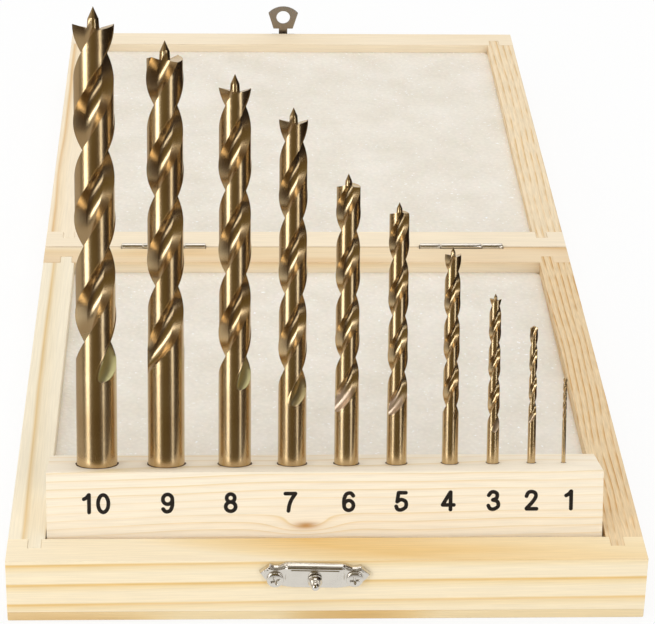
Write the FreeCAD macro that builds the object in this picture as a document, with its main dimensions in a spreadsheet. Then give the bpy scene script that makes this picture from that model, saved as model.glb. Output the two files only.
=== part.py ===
"""Hinged wooden case with a tilting block of ten twist drills, opened flat.

The base stands in front of the lid, both with the panel down and the rim up. The origin is the centre of
the underside of the base, X runs along the block, +Y from the front wall to the hinges, and +Z is up.
Lengths are in millimetres and angles in degrees.
"""
import FreeCAD, Part
import math
import os
import re
from FreeCAD import Placement, Rotation, Vector

SIZES = (
    # alias, value, what it is
    ("case_length", 170.0, "outside length of base and lid, front wall to hinge wall"),
    ("half_height", 17.0, "height of the base, and of the lid"),
    ("panel_thick", 2.5, "bottom and top panel, glued under the frame"),
    ("end_wall", 10.0, "thickness of the front and hinge walls"),
    ("side_wall", 9.0, "thickness of the side walls"),
    ("tongue_thick", 3.4, "corner joint: thickness of a side wall's tongue"),
    ("tongue_depth", 4.0, "corner joint: how far the tongue enters the end wall"),
    ("tongue_inset", 0.7, "corner joint: tongue to the inner face of the side wall"),
    ("seam_gap", 0.5, "gap between base and lid when open flat"),
    ("rim_gap", 0.3, "gap between the rims when closed"),
    ("foam_gap", 0.3, "foam pad to the walls around it"),
    ("base_foam_drop", 3.3, "rim of the base to its foam"),
    ("lid_foam_drop", 2.8, "rim of the lid to its foam"),
    ("block_end", 8.3, "wood of the bit block to the right of its last hole"),
    ("block_thick", 17.5, "bit block, front face to back face"),
    ("block_side_gap", 0.3, "bit block to the left wall"),
    ("block_right_gap", 0.8, "bit block to the right wall"),
    ("block_rise", 18.6, "pivot axis to the top face of the block, along the bits"),
    ("block_foot_gap", 0.6, "bit block to the front wall and to the bottom panel"),
    ("pivot_back", 4.6, "plane of the bits to the pivot axis"),
    ("pivot_from_wall", 13.5, "inner face of the front wall to the pivot axis"),
    ("pivot_high", 10.4, "underside of the base to the pivot axis"),
    ("pivot_pin_radius", 1.5, "pivot pin"),
    ("pivot_pin_reach", 6.0, "pivot pin inside the block"),
    ("pivot_clearance", 0.1, "pivot pin to its bore in the block, radial"),
    ("pivot_end_gap", 0.4, "pivot pin to the end of its bore"),
    ("lean", 17.0, "raised block, back from upright"),
    ("hole_clearance", 0.1, "bit to its hole in the block, radial"),
    ("hinge_left_inset", 35.0, "left side of the case to the middle of the left hinge"),
    ("hinge_right_inset", 31.5, "right side of the case to the middle of the right hinge"),
    ("hinge_width", 24.6, "hinge along its pin"),
    ("leaf_thick", 0.9, "hinge leaf"),
    ("leaf_deep", 11.0, "hinge leaf, pin axis to its far edge"),
    ("knuckle_radius", 0.9, "hinge knuckle"),
    ("knuckle_gap", 0.3, "between neighbouring knuckles, and round them"),
    ("hinge_pin_radius", 0.45, "hinge pin"),
    ("pin_clearance", 0.06, "hinge and hasp pins to their bores, radial"),
    ("leaf_screw_spread", 7.5, "hinge middle to a leaf's screw"),
    ("leaf_screw_drop", 6.6, "hinge pin axis to the leaf screws"),
    ("leaf_screw_head", 1.7, "countersunk head, radius"),
    ("leaf_screw_radius", 0.9, "countersunk screw, radius"),
    ("leaf_screw_length", 7.0, "countersunk screw, under its head"),
    ("latch_x", -3.2, "middle of the catch and of the hasp"),
    ("catch_drop", 1.5, "rim of the base to the top edge of the catch plate"),
    ("catch_height", 6.6, "catch plate"),
    ("catch_length", 27.0, "catch plate, tip to tip"),
    ("catch_thick", 0.9, "catch plate"),
    ("catch_raise", 0.7, "raised middle of the catch plate"),
    ("catch_horn_inset", 2.4, "tip of the catch plate back to its horn"),
    ("catch_foot_inset", 5.2, "tip of the catch plate back to its lower corner"),
    ("catch_screw_spread", 9.6, "middle of the catch to its screws"),
    ("catch_screw_drop", 0.5, "middle of the catch plate down to its screws"),
    ("catch_screw_head", 2.05, "pan head, radius"),
    ("catch_screw_radius", 1.0, "catch screw, radius"),
    ("catch_screw_length", 7.0, "catch screw, under its head"),
    ("stud_drop", 5.2, "rim of the base to the axis of the stud"),
    ("stud_radius", 1.75, "catch stud, at its collar"),
    ("stud_length", 3.8, "catch stud"),
    ("hasp_thick", 0.7, "hasp plate and loop"),
    ("hasp_plate_width", 15.0, "fixed hasp plate"),
    ("hasp_plate_height", 8.5, "fixed hasp plate, pin axis to its lower edge"),
    ("hasp_pin_drop", 1.6, "rim of the lid to the hasp pin axis"),
    ("hasp_knuckle_radius", 1.1, "hasp knuckle"),
    ("hasp_knuckle_width", 2.2, "each fixed hasp knuckle"),
    ("hasp_pin_radius", 0.5, "hasp pin"),
    ("hasp_neck_width", 3.0, "neck of the hasp loop"),
    ("hasp_hole_radius", 2.4, "hole in the hasp loop"),
    ("hasp_foot", 4.2, "hole of the hasp loop down to the foot of its eye"),
    ("hasp_foot_half", 3.4, "eye of the hasp loop, half width at its foot"),
    ("hasp_shoulder_half", 5.2, "eye of the hasp loop, half width at its shoulders"),
    ("hasp_shoulder", 1.6, "hole of the hasp loop up to its shoulders"),
    ("hasp_crown", 4.0, "hole of the hasp loop up to its crown"),
    ("hasp_screw_spread", 5.2, "middle of the hasp to its screws"),
    ("hasp_screw_drop", 5.1, "hasp pin axis down to its screws"),
    ("hasp_screw_head", 1.5, "pan head, radius"),
    ("hasp_screw_radius", 0.8, "hasp screw, radius"),
    ("hasp_screw_length", 6.0, "hasp screw, under its head"),
)

# Each drill: diameter, overall length, fluted length, pitch of its helix, depth of its hole, the wood between
# its hole and the one before it or the end of the block, and the angle of its cutting lips from the X axis.
DRILLS = (
    (10, 133.0, 90.7, 46.9, 21.0, 7.0, 1.0),
    (9, 125.0, 81.0, 44.1, 21.0, 7.5, 43.5),
    (8, 117.0, 76.8, 40.9, 21.0, 8.3, -15.5),
    (7, 109.0, 72.9, 37.3, 21.0, 6.6, -3.0),
    (6, 93.0, 58.9, 31.4, 21.0, 6.9, 75.0),
    (5, 86.0, 52.6, 28.0, 21.0, 6.9, -84.0),
    (4, 75.0, 43.0, 22.4, 21.0, 8.7, 10.5),
    (3, 61.0, 34.5, 18.2, 18.5, 7.1, -22.5),
    (2, 49.0, 24.4, 14.4, 14.5, 7.1, 64.0),
    (1, 34.0, 11.2, 4.6, 12.5, 6.5, 50.0),
)
BRAD_POINTS_FROM = 3  # the thinner drills have a plain point

doc = FreeCAD.newDocument("DrillBitCase")
pieces = []


def fill_sheet():
    """Put every driving dimension in the sheet, under its alias."""
    page = doc.addObject("Spreadsheet::Sheet", "Sizes")
    rows = list(SIZES)
    for diameter, length, flutes, pitch, depth, wood, lips in DRILLS:
        drill = "drill_%dmm" % diameter
        rows += [
            (drill + "_length", length, "overall length"),
            (drill + "_flutes", flutes, "fluted length"),
            (drill + "_pitch", pitch, "one turn of its flutes"),
            (drill + "_depth", depth, "depth of its hole"),
            (drill + "_wood", wood, "wood to the left of its hole"),
            (drill + "_lips", lips, "cutting lips from the X axis"),
        ]
    for row, (alias, value, meaning) in enumerate(rows, start=1):
        page.set("A%d" % row, meaning)
        page.set("B%d" % row, str(value))
        page.setAlias("B%d" % row, alias)
    doc.recompute()
    return page, re.compile(r"\b(%s)\b" % "|".join(alias for alias, value, meaning in rows))


sizes, ALIASES = fill_sheet()


def hole_places():
    """Where each drill's hole lies along the block, and the length of the whole block."""
    along = "0"
    places = {}
    for diameter, *others in DRILLS:
        places[diameter] = "%s + drill_%dmm_wood + %g" % (along, diameter, diameter / 2)
        along = "%s + %g" % (places[diameter], diameter / 2)
    return places, along + " + block_end"


HOLE_PLACES, BLOCK_LENGTH = hole_places()
CASE_WIDTH = "2 * side_wall + block_side_gap + block_right_gap + " + BLOCK_LENGTH

# Sizes that follow from the ones in the sheet, and expressions that several pieces share.
DERIVED = {"block_width": BLOCK_LENGTH, "case_width": CASE_WIDTH}
LEFT = "-case_width / 2"
HINGE_WALL_Y = {"base": "case_length / 2", "lid": "case_length / 2 + seam_gap"}
HINGE_AXIS_Y = "case_length / 2 + seam_gap / 2"
HINGE_AXIS_Z = "half_height + rim_gap / 2"
FRAME_HEIGHT = "half_height - panel_thick"
PIVOT_Y = "-case_length / 2 + end_wall + pivot_from_wall"
BLOCK_LEFT = "-case_width / 2 + side_wall + block_side_gap"
BLOCK_FRONT = "-block_thick / 2 - pivot_back"
CATCH_Z = "half_height - catch_drop - catch_height / 2"
LID_FAR_Y = "case_length * 1.5 + seam_gap"
HASP_AXIS_Y = LID_FAR_Y + " + hasp_knuckle_radius + 0.1"
HASP_AXIS_Z = "half_height - hasp_pin_drop"
HASP_HOLE_Z = "half_height + stud_drop + rim_gap"


def linked(text):
    """An expression on the sheet's names, as a property takes it."""
    for name, meaning in DERIVED.items():
        text = text.replace(name, "(%s)" % meaning)
    return ALIASES.sub(r"Sizes.\1", text)


def bind(thing, **properties):
    for name, text in properties.items():
        thing.setExpression(name, linked(text))


def place(thing, at, toward=None):
    """Bind a thing's origin to the sheet, with its own Z axis turned toward a direction."""
    if toward:
        thing.Placement = Placement(Vector(), Rotation(Vector(0, 0, 1), Vector(*toward)))
    for axis, text in zip("xyz", at):
        thing.setExpression("Placement.Base." + axis, linked(text))
    return thing


def box(name, corner, lengths):
    solid = doc.addObject("Part::Box", name)
    bind(solid, Length=lengths[0], Width=lengths[1], Height=lengths[2])
    return place(solid, corner)


def cylinder(name, radius, height, at, toward=None):
    solid = doc.addObject("Part::Cylinder", name)
    bind(solid, Radius=radius, Height=height)
    return place(solid, at, toward)


def cone(name, radius, end_radius, height, at, toward=None):
    solid = doc.addObject("Part::Cone", name)
    bind(solid, Radius1=radius, Radius2=end_radius, Height=height)
    return place(solid, at, toward)


def fuse(name, solids):
    joined = doc.addObject("Part::MultiFuse", name)
    joined.Shapes = solids
    joined.Refine = True
    return joined


def cut(name, solid, tools):
    result = doc.addObject("Part::Cut", name)
    result.Base = solid
    result.Tool = tools[0] if len(tools) == 1 else fuse(name + "_tools", tools)
    result.Refine = True
    return result


def piece(thing, label):
    """Mark a thing as one of the pieces that the case is made of."""
    thing.Label = label
    pieces.append(thing)
    return thing


def outline(sketch, start, steps):
    """Draw a closed outline: each step is (end,) for a line or (middle, end) for an arc.

    A sketch keeps its arcs anticlockwise.
    """
    here = start
    for step in steps:
        end = step[-1]
        ends = (Vector(*here, 0), Vector(*end, 0))
        if len(step) == 1:
            sketch.addGeometry(Part.LineSegment(*ends))
        else:
            middle = Vector(*step[0], 0)
            clockwise = (middle - ends[0]).cross(ends[1] - ends[0]).z < 0
            first, last = reversed(ends) if clockwise else ends
            sketch.addGeometry(Part.Arc(first, middle, last))
        here = end


def origin_plane(body, role):
    return next(feature for feature in body.Origin.OriginFeatures if feature.Role == role)


def upright_sketch(body, name):
    """A sketch on the body's XZ plane. Its pads grow toward -Y."""
    sketch = body.newObject("Sketcher::SketchObject", name)
    sketch.AttachmentSupport = [(origin_plane(body, "XZ_Plane"), "")]
    sketch.MapMode = "FlatFace"
    return sketch


def pad(body, sketch, length):
    feature = body.newObject("PartDesign::Pad", sketch.Name + "_pad")
    feature.Profile = sketch
    bind(feature, Length=length)
    sketch.Visibility = False
    return feature


def dome(radius, low, crown):
    """The outline step from a rim up to the axis, along a sphere centred on the axis."""
    rise = crown - low
    sphere = (radius**2 + rise**2) / (2 * rise)
    half = math.atan2(radius, sphere - rise) / 2
    return ((sphere * math.sin(half), crown - sphere + sphere * math.cos(half)), (0, crown))


def turned(name, start, steps, at, toward):
    """A body of revolution from an outline of (radius, height), its axis placed toward a direction."""
    body = doc.addObject("PartDesign::Body", name)
    sketch = upright_sketch(body, name + "_profile")
    outline(sketch, start, steps)
    feature = body.newObject("PartDesign::Revolution", name + "_turn")
    feature.Profile = sketch
    feature.ReferenceAxis = (sketch, ["V_Axis"])
    feature.Angle = 360
    return place(body, at, toward)


# ---------------------------------------------------------------- wooden frames, panels and foam


def inward(half, distance, thickness):
    """Low Y of a slab that lies at a distance inside the hinge wall's outer face."""
    if half == "base":
        return "%s - (%s) - (%s)" % (HINGE_WALL_Y["base"], distance, thickness)
    return "%s + (%s)" % (HINGE_WALL_Y["lid"], distance)


def side_wall(half, side):
    """A side wall with the tongues that enter the end walls, and the tongue by itself."""
    name = "%s_%s_wall" % (half, side)
    right = side == "right"
    board_x = "case_width / 2 - side_wall" if right else LEFT
    tongue_x = (
        "case_width / 2 - side_wall + tongue_inset"
        if right
        else LEFT + " + side_wall - tongue_inset - tongue_thick"
    )
    board_length = "case_length - 2 * end_wall"
    tongue_start = "end_wall - tongue_depth"
    tongue_length = "case_length - 2 * (%s)" % tongue_start
    board = box(
        name + "_board",
        (board_x, inward(half, "end_wall", board_length), "panel_thick"),
        ("side_wall", board_length, FRAME_HEIGHT),
    )
    tongue = box(
        name + "_tongue",
        (tongue_x, inward(half, tongue_start, tongue_length), "panel_thick"),
        ("tongue_thick", tongue_length, FRAME_HEIGHT),
    )
    return fuse(name + "_blank", [board, tongue]), tongue


def end_wall(half, name, distance, tools):
    blank = box(
        name + "_blank",
        (LEFT, inward(half, distance, "end_wall"), "panel_thick"),
        ("case_width", "end_wall", FRAME_HEIGHT),
    )
    return piece(cut(name, blank, tools), name)


def foam_pad(half, front_edge):
    """The pad that fills a frame from the hinge wall to its front edge."""
    name = half + "_foam_pad"
    length = front_edge + " - end_wall - foam_gap"
    pad_box = box(
        name,
        (LEFT + " + side_wall + foam_gap", inward(half, "end_wall + foam_gap", length), "panel_thick"),
        (
            "case_width - 2 * (side_wall + foam_gap)",
            length,
            FRAME_HEIGHT + " - %s_foam_drop" % half,
        ),
    )
    return piece(pad_box, name)


def pivot_pins():
    """The two pins on which the block tilts, flush with the outside of the case."""
    left_length = "side_wall + block_side_gap + pivot_pin_reach"
    right_length = "side_wall + block_right_gap + pivot_pin_reach"
    left = cylinder(
        "pivot_pin_left", "pivot_pin_radius", left_length, (LEFT, PIVOT_Y, "pivot_high"), (1, 0, 0)
    )
    right = cylinder(
        "pivot_pin_right",
        "pivot_pin_radius",
        right_length,
        ("case_width / 2", PIVOT_Y, "pivot_high"),
        (-1, 0, 0),
    )
    return piece(left, "pivot_pin_left"), piece(right, "pivot_pin_right")


def frames(screws, pins, catch_screws, hasp_screws):
    """Both halves of the case: four jointed walls on a panel, and a foam pad in each."""
    for half in ("base", "lid"):
        left, left_tongue = side_wall(half, "left")
        right, right_tongue = side_wall(half, "right")
        grooves = [left_tongue, right_tongue]
        if half == "base":
            piece(cut("base_left_wall", left, [pins[0]]), "base_left_wall")
            piece(cut("base_right_wall", right, [pins[1]]), "base_right_wall")
        else:
            piece(left, "lid_left_wall")
            piece(right, "lid_right_wall")
        latch_screws = catch_screws if half == "base" else hasp_screws
        end_wall(half, half + "_front_wall", "case_length - end_wall", grooves + latch_screws)
        end_wall(half, half + "_hinge_wall", "0", grooves + hinge_seats(half) + screws[half])
        panel = box(
            half + "_panel",
            (LEFT, inward(half, "0", "case_length"), "0"),
            ("case_width", "case_length", "panel_thick"),
        )
        piece(panel, "base_bottom_panel" if half == "base" else "lid_top_panel")
    foam_pad("base", "case_length - end_wall - pivot_from_wall - block_rise - block_foot_gap")
    foam_pad("lid", "case_length - end_wall - foam_gap")


# ---------------------------------------------------------------- hinges

HINGE_X = {"left": "-case_width / 2 + hinge_left_inset", "right": "case_width / 2 - hinge_right_inset"}


def hinge_seats(half):
    """The mortises for both leaves, and the notches round the knuckles."""
    seats = []
    notch_depth = "knuckle_radius + knuckle_gap - seam_gap / 2"
    for side, middle in HINGE_X.items():
        left_end = middle + " - hinge_width / 2"
        seats.append(
            box(
                "%s_%s_leaf_seat" % (half, side),
                (left_end, inward(half, "0", "leaf_thick"), HINGE_AXIS_Z + " - leaf_deep"),
                ("hinge_width", "leaf_thick", "leaf_deep"),
            )
        )
        seats.append(
            box(
                "%s_%s_knuckle_notch" % (half, side),
                (
                    left_end + " - knuckle_gap",
                    inward(half, "0", notch_depth),
                    HINGE_AXIS_Z + " - knuckle_radius - knuckle_gap",
                ),
                (
                    "hinge_width + 2 * knuckle_gap",
                    notch_depth,
                    "knuckle_radius + 2 * knuckle_gap",
                ),
            )
        )
    return seats


def leaf_screw(name, half, at_x):
    """A countersunk screw, flush with the leaf."""
    into_wall = (0, -1, 0) if half == "base" else (0, 1, 0)
    at_z = HINGE_AXIS_Z + " - leaf_screw_drop"
    sign = "-" if half == "base" else "+"
    head = cone(
        name + "_head",
        "leaf_screw_head",
        "leaf_screw_radius",
        "leaf_thick",
        (at_x, HINGE_WALL_Y[half], at_z),
        into_wall,
    )
    shank = cylinder(
        name + "_shank",
        "leaf_screw_radius",
        "leaf_screw_length",
        (at_x, "%s %s leaf_thick" % (HINGE_WALL_Y[half], sign), at_z),
        into_wall,
    )
    return piece(fuse(name, [head, shank]), name)


def knuckle_spans(half):
    """Start and width of each knuckle, from the hinge's left end: 1 to 2 to 1."""
    end_width = "(hinge_width / 4 - knuckle_gap / 2)"
    if half == "base":
        return (("0", end_width), ("hinge_width - " + end_width, end_width))
    return (("hinge_width / 4 + knuckle_gap / 2", "(hinge_width / 2 - knuckle_gap)"),)


def hinge_leaf(half, side, screws):
    """A leaf: its plate, a tab up to each knuckle, and the knuckles bored for the pin."""
    name = "hinge_%s_%s_leaf" % (side, half)
    left_end = HINGE_X[side] + " - hinge_width / 2"
    plate_low = HINGE_AXIS_Z + " - leaf_deep"
    neck = "knuckle_radius + knuckle_gap"
    leaf_y = inward(half, "0", "leaf_thick")
    plate_lengths = ("hinge_width", "leaf_thick", "leaf_deep - (%s)" % neck)
    solids = [box(name + "_plate", (left_end, leaf_y, plate_low), plate_lengths)]
    for number, (start, width) in enumerate(knuckle_spans(half), start=1):
        start_x = "%s + %s" % (left_end, start)
        tab_corner = (start_x, leaf_y, "%s - (%s)" % (HINGE_AXIS_Z, neck))
        solids.append(box("%s_tab_%d" % (name, number), tab_corner, (width, "leaf_thick", neck)))
        knuckle_at = (start_x, HINGE_AXIS_Y, HINGE_AXIS_Z)
        solids.append(
            cylinder("%s_knuckle_%d" % (name, number), "knuckle_radius", width, knuckle_at, (1, 0, 0))
        )
    bore = cylinder(
        name + "_bore",
        "hinge_pin_radius + pin_clearance",
        "hinge_width",
        (left_end, HINGE_AXIS_Y, HINGE_AXIS_Z),
        (1, 0, 0),
    )
    return piece(cut(name, fuse(name + "_blank", solids), [bore] + screws), name)


def hinges():
    """Two butt hinges let into the outer faces of the hinge walls. Gives the screws of each half."""
    screws = {"base": [], "lid": []}
    for side, middle in HINGE_X.items():
        for half in ("base", "lid"):
            pair = [
                leaf_screw(
                    "hinge_%s_%s_screw_%d" % (side, half, number),
                    half,
                    "%s %s leaf_screw_spread" % (middle, sign),
                )
                for number, sign in ((1, "-"), (2, "+"))
            ]
            hinge_leaf(half, side, pair)
            screws[half] += pair
        pin = cylinder(
            "hinge_%s_pin" % side,
            "hinge_pin_radius",
            "hinge_width",
            (middle + " - hinge_width / 2", HINGE_AXIS_Y, HINGE_AXIS_Z),
            (1, 0, 0),
        )
        piece(pin, "hinge_%s_pin" % side)
    return screws


# ---------------------------------------------------------------- catch and hasp


def pan_screw(name, head_radius, radius, length, at, toward):
    """A screw with a domed head. Its seat is at the given point."""
    rim = head_radius * 0.22
    steps = [
        ((radius, -length + radius),),
        ((radius, 0),),
        ((head_radius, 0),),
        ((head_radius, rim),),
        dome(head_radius, rim, head_radius * 0.52),
        ((0, -length),),
    ]
    return piece(turned(name, (0, -length), steps, at, toward), name)


def catch_plate():
    """The plate on the front wall: pointed ends, a small horn beside each dip, and a raised middle."""
    half = sizes.catch_height / 2
    tip = sizes.catch_length / 2
    point = (tip, 0.17 * half)
    horn = (tip - sizes.catch_horn_inset, 0.85 * half)
    dip = (tip - 1.7 * sizes.catch_horn_inset, 0.64 * half)
    shoulder = (tip - 2.7 * sizes.catch_horn_inset, half)
    heel = (tip - 0.3 * sizes.catch_foot_inset, -0.5 * half)
    foot = (tip - sizes.catch_foot_inset, -half)

    def mirrored(place_xy):
        return (-place_xy[0], place_xy[1])

    body = doc.addObject("PartDesign::Body", "catch_plate")
    plate = upright_sketch(body, "catch_plate_outline")
    outline(
        plate,
        mirrored(shoulder),
        [
            (shoulder,),
            (dip, horn),
            (point,),
            (heel,),
            (foot,),
            (mirrored(foot),),
            (mirrored(heel),),
            (mirrored(point),),
            (mirrored(horn),),
            (mirrored(dip), mirrored(shoulder)),
        ],
    )
    for side in (-1, 1):
        centre = Vector(side * sizes.catch_screw_spread, -sizes.catch_screw_drop, 0)
        plate.addGeometry(Part.Circle(centre, Vector(0, 0, 1), sizes.catch_screw_radius))
    pad(body, plate, "catch_thick")
    middle = upright_sketch(body, "catch_plate_middle")
    wide = 0.94 * shoulder[0]
    top = 0.6 * half
    low = -0.88 * half
    corner = 0.2 * half
    bend = corner * (1 - math.sqrt(0.5))
    outline(
        middle,
        (-wide, low),
        [
            ((wide, low),),
            ((wide, top - corner),),
            ((wide - bend, top - bend), (wide - corner, top)),
            ((-wide + corner, top),),
            ((-wide + bend, top - bend), (-wide, top - corner)),
            ((-wide, low),),
        ],
    )
    pad(body, middle, "catch_thick + catch_raise")
    return piece(place(body, ("latch_x", "-case_length / 2", CATCH_Z)), "catch_plate")


def catch_stud():
    """The stud that holds the hasp: a collar, a waist and a round nose."""
    collar = sizes.stud_radius
    length = sizes.stud_length
    waist = collar * 0.66
    nose = collar * 0.78
    neck_high = length * 0.42
    nose_high = length - nose
    steps = [
        ((collar, 0),),
        ((collar, length * 0.14),),
        ((waist * 1.12, length * 0.26), (waist, neck_high)),
        ((nose, nose_high),),
        dome(nose, nose_high, length),
        ((0, 0),),
    ]
    at = ("latch_x", "-case_length / 2 - catch_thick - catch_raise", "half_height - stud_drop")
    return piece(turned("catch_stud", (0, 0), steps, at, (0, -1, 0)), "catch_stud")


def catch():
    """The catch on the front wall. Gives its screws, which the wall is bored for."""
    catch_plate()
    catch_stud()
    screws = []
    for side, sign in (("left", "-"), ("right", "+")):
        at = (
            "latch_x %s catch_screw_spread" % sign,
            "-case_length / 2 - catch_thick",
            CATCH_Z + " - catch_screw_drop",
        )
        screws.append(
            pan_screw(
                "catch_screw_" + side,
                sizes.catch_screw_head,
                sizes.catch_screw_radius,
                sizes.catch_screw_length,
                at,
                (0, -1, 0),
            )
        )
    return screws


def hasp_plate(screws):
    """The fixed plate on the lid's front wall, with a knuckle at each end of the pin."""
    neck = "hasp_knuckle_radius + knuckle_gap"
    plate = box(
        "hasp_plate_board",
        ("latch_x - hasp_plate_width / 2", LID_FAR_Y, HASP_AXIS_Z + " - hasp_plate_height"),
        ("hasp_plate_width", "hasp_thick", "hasp_plate_height - (%s)" % neck),
    )
    solids = [plate]
    inner = "(hasp_neck_width / 2 + knuckle_gap)"
    starts = {"left": "latch_x - %s - hasp_knuckle_width" % inner, "right": "latch_x + " + inner}
    for side, start in starts.items():
        tab_corner = (start, LID_FAR_Y, "%s - (%s)" % (HASP_AXIS_Z, neck))
        solids.append(box("hasp_tab_" + side, tab_corner, ("hasp_knuckle_width", "hasp_thick", neck)))
        solids.append(
            cylinder(
                "hasp_knuckle_" + side,
                "hasp_knuckle_radius",
                "hasp_knuckle_width",
                (start, HASP_AXIS_Y, HASP_AXIS_Z),
                (1, 0, 0),
            )
        )
    blank = fuse("hasp_plate_blank", solids)
    return piece(cut("hasp_plate", blank, [hasp_bore("fixed")] + screws), "hasp_plate")


def hasp_pin_length():
    return "(hasp_neck_width + 2 * knuckle_gap + 2 * hasp_knuckle_width)"


def hasp_bore(name):
    return cylinder(
        "hasp_bore_" + name,
        "hasp_pin_radius + pin_clearance",
        hasp_pin_length(),
        ("latch_x - %s / 2" % hasp_pin_length(), HASP_AXIS_Y, HASP_AXIS_Z),
        (1, 0, 0),
    )


def hasp_loop():
    """The swinging loop: a broad eye on a neck that rolls round the pin."""
    foot = (sizes.hasp_foot_half, -sizes.hasp_foot)
    shoulder = (sizes.hasp_shoulder_half, sizes.hasp_shoulder)
    body = doc.addObject("PartDesign::Body", "hasp_eye")
    eye = upright_sketch(body, "hasp_eye_outline")
    outline(
        eye,
        (-foot[0], foot[1]),
        [
            (foot,),
            (shoulder,),
            ((0, sizes.hasp_crown), (-shoulder[0], shoulder[1])),
            ((-foot[0], foot[1]),),
        ],
    )
    eye.addGeometry(Part.Circle(Vector(0, 0, 0), Vector(0, 0, 1), sizes.hasp_hole_radius))
    pad(body, eye, "hasp_thick")
    outer_y = HASP_AXIS_Y + " + hasp_knuckle_radius"
    place(body, ("latch_x", outer_y, HASP_HOLE_Z))
    neck = box(
        "hasp_neck",
        ("latch_x - hasp_neck_width / 2", outer_y + " - hasp_thick", HASP_AXIS_Z),
        ("hasp_neck_width", "hasp_thick", "%s - 0.9 * hasp_foot - (%s)" % (HASP_HOLE_Z, HASP_AXIS_Z)),
    )
    knuckle = cylinder(
        "hasp_loop_knuckle",
        "hasp_knuckle_radius",
        "hasp_neck_width",
        ("latch_x - hasp_neck_width / 2", HASP_AXIS_Y, HASP_AXIS_Z),
        (1, 0, 0),
    )
    blank = fuse("hasp_loop_blank", [body, neck, knuckle])
    return piece(cut("hasp_loop", blank, [hasp_bore("loop")]), "hasp_loop")


def hasp():
    """The hasp on the lid's front wall. Gives its screws, which the wall is bored for."""
    screws = []
    for side, sign in (("left", "-"), ("right", "+")):
        at = (
            "latch_x %s hasp_screw_spread" % sign,
            LID_FAR_Y + " + hasp_thick",
            HASP_AXIS_Z + " - hasp_screw_drop",
        )
        screws.append(
            pan_screw(
                "hasp_screw_" + side,
                sizes.hasp_screw_head,
                sizes.hasp_screw_radius,
                sizes.hasp_screw_length,
                at,
                (0, 1, 0),
            )
        )
    hasp_plate(screws)
    hasp_loop()
    pin = cylinder(
        "hasp_pin",
        "hasp_pin_radius",
        hasp_pin_length(),
        ("latch_x - %s / 2" % hasp_pin_length(), HASP_AXIS_Y, HASP_AXIS_Z),
        (1, 0, 0),
    )
    piece(pin, "hasp_pin")
    return screws


# ---------------------------------------------------------------- bit block


def block():
    """The block, made upright about its pivot axis and then leaned back.

    Its lower front is cut to a stop face that meets the front wall, to a flat foot over the panel, and
    between them to an arc about the pivot that clears the wall as the block folds down.
    """
    reach = "(pivot_from_wall - block_foot_gap)"
    foot = "(pivot_high - panel_thick - block_foot_gap)"
    blank = box(
        "block_blank",
        (BLOCK_LEFT, BLOCK_FRONT, "-pivot_from_wall"),
        ("block_width", "block_thick", "block_rise + pivot_from_wall"),
    )
    wide = "block_width + 2"  # the cutting tools run 1 past both ends and far below the block
    below = "2 * pivot_from_wall"
    tool_corner = (BLOCK_LEFT + " - 1", "-" + below, "-" + below)
    stop = box(
        "block_stop_cut", tool_corner, (wide, below + " - " + reach, "3 * pivot_from_wall + block_rise")
    )
    floor = box("block_foot_cut", tool_corner, (wide, below + " + block_thick", below + " - " + foot))
    quarter = box("block_quarter", tool_corner, (wide, below, below))
    drum = cylinder("block_drum", reach, wide, (tool_corner[0], "0", "0"), (1, 0, 0))
    foot_tools = fuse("block_foot_tools", [stop, floor, cut("block_corner_cut", quarter, [drum])])
    foot_tools.Placement = Placement(Vector(), Rotation(Vector(1, 0, 0), 1))
    foot_tools.setExpression("Placement.Rotation.Angle", linked("lean"))
    tools = [foot_tools]
    ends = {"left": (BLOCK_LEFT, 1), "right": (BLOCK_LEFT + " + block_width", -1)}
    for side, (end_x, inward_x) in ends.items():
        tools.append(
            cylinder(
                "block_bore_" + side,
                "pivot_pin_radius + pivot_clearance",
                "pivot_pin_reach + pivot_end_gap",
                (end_x, "0", "0"),
                (inward_x, 0, 0),
            )
        )
    for diameter, place_x in HOLE_PLACES.items():
        drill = "drill_%dmm" % diameter
        tools.append(
            cylinder(
                drill + "_hole",
                "%g + hole_clearance" % (diameter / 2),
                drill + "_depth + 1",
                ("%s + %s" % (BLOCK_LEFT, place_x), "-pivot_back", "block_rise - %s_depth" % drill),
            )
        )
    solid = cut("bit_block", blank, tools)
    solid.Placement = Placement(Vector(), Rotation(Vector(1, 0, 0), -1))
    place(solid, ("0", PIVOT_Y, "pivot_high"))
    solid.setExpression("Placement.Rotation.Angle", linked("-lean"))
    return piece(solid, "bit_block")


# ---------------------------------------------------------------- twist drills

WEB_PER_DIAMETER = 0.24
FLUTE_PER_DIAMETER = 0.40
RUNOUT_PER_DIAMETER = 1.2
BRAD_HEIGHT = 0.41  # each of these is a share of the diameter
SPUR_HEIGHT = 0.11
BRAD_RADIUS = 0.15
SPUR_LENGTH = 48.0  # degrees of the rim
SPUR_SETBACK = 2.5  # degrees behind the edge of the flute
POINT_ANGLE = 118.0


def flute_half_angle(diameter):
    """Half of the angle that one flute opens at the rim of the drill."""
    radius = diameter / 2
    flute = FLUTE_PER_DIAMETER * diameter
    centre = WEB_PER_DIAMETER * radius + flute
    return math.acos((centre**2 + radius**2 - flute**2) / (2 * centre * radius))


def drill_section(diameter):
    """Two round flutes in a round bar, as one closed wire at height 0."""
    half = flute_half_angle(diameter)

    def at(radius, angle):
        return Vector(radius * math.cos(angle), radius * math.sin(angle), 0)

    radius = diameter / 2
    web = WEB_PER_DIAMETER * radius
    edges = []
    for side in (0, math.pi):
        land_start = side + half
        land_end = side + math.pi - half
        edges.append(Part.Arc(at(radius, side - half), at(web, side), at(radius, land_start)).toShape())
        edges.append(
            Part.Arc(at(radius, land_start), at(radius, side + math.pi / 2), at(radius, land_end)).toShape()
        )
    return Part.Wire(edges)


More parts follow.
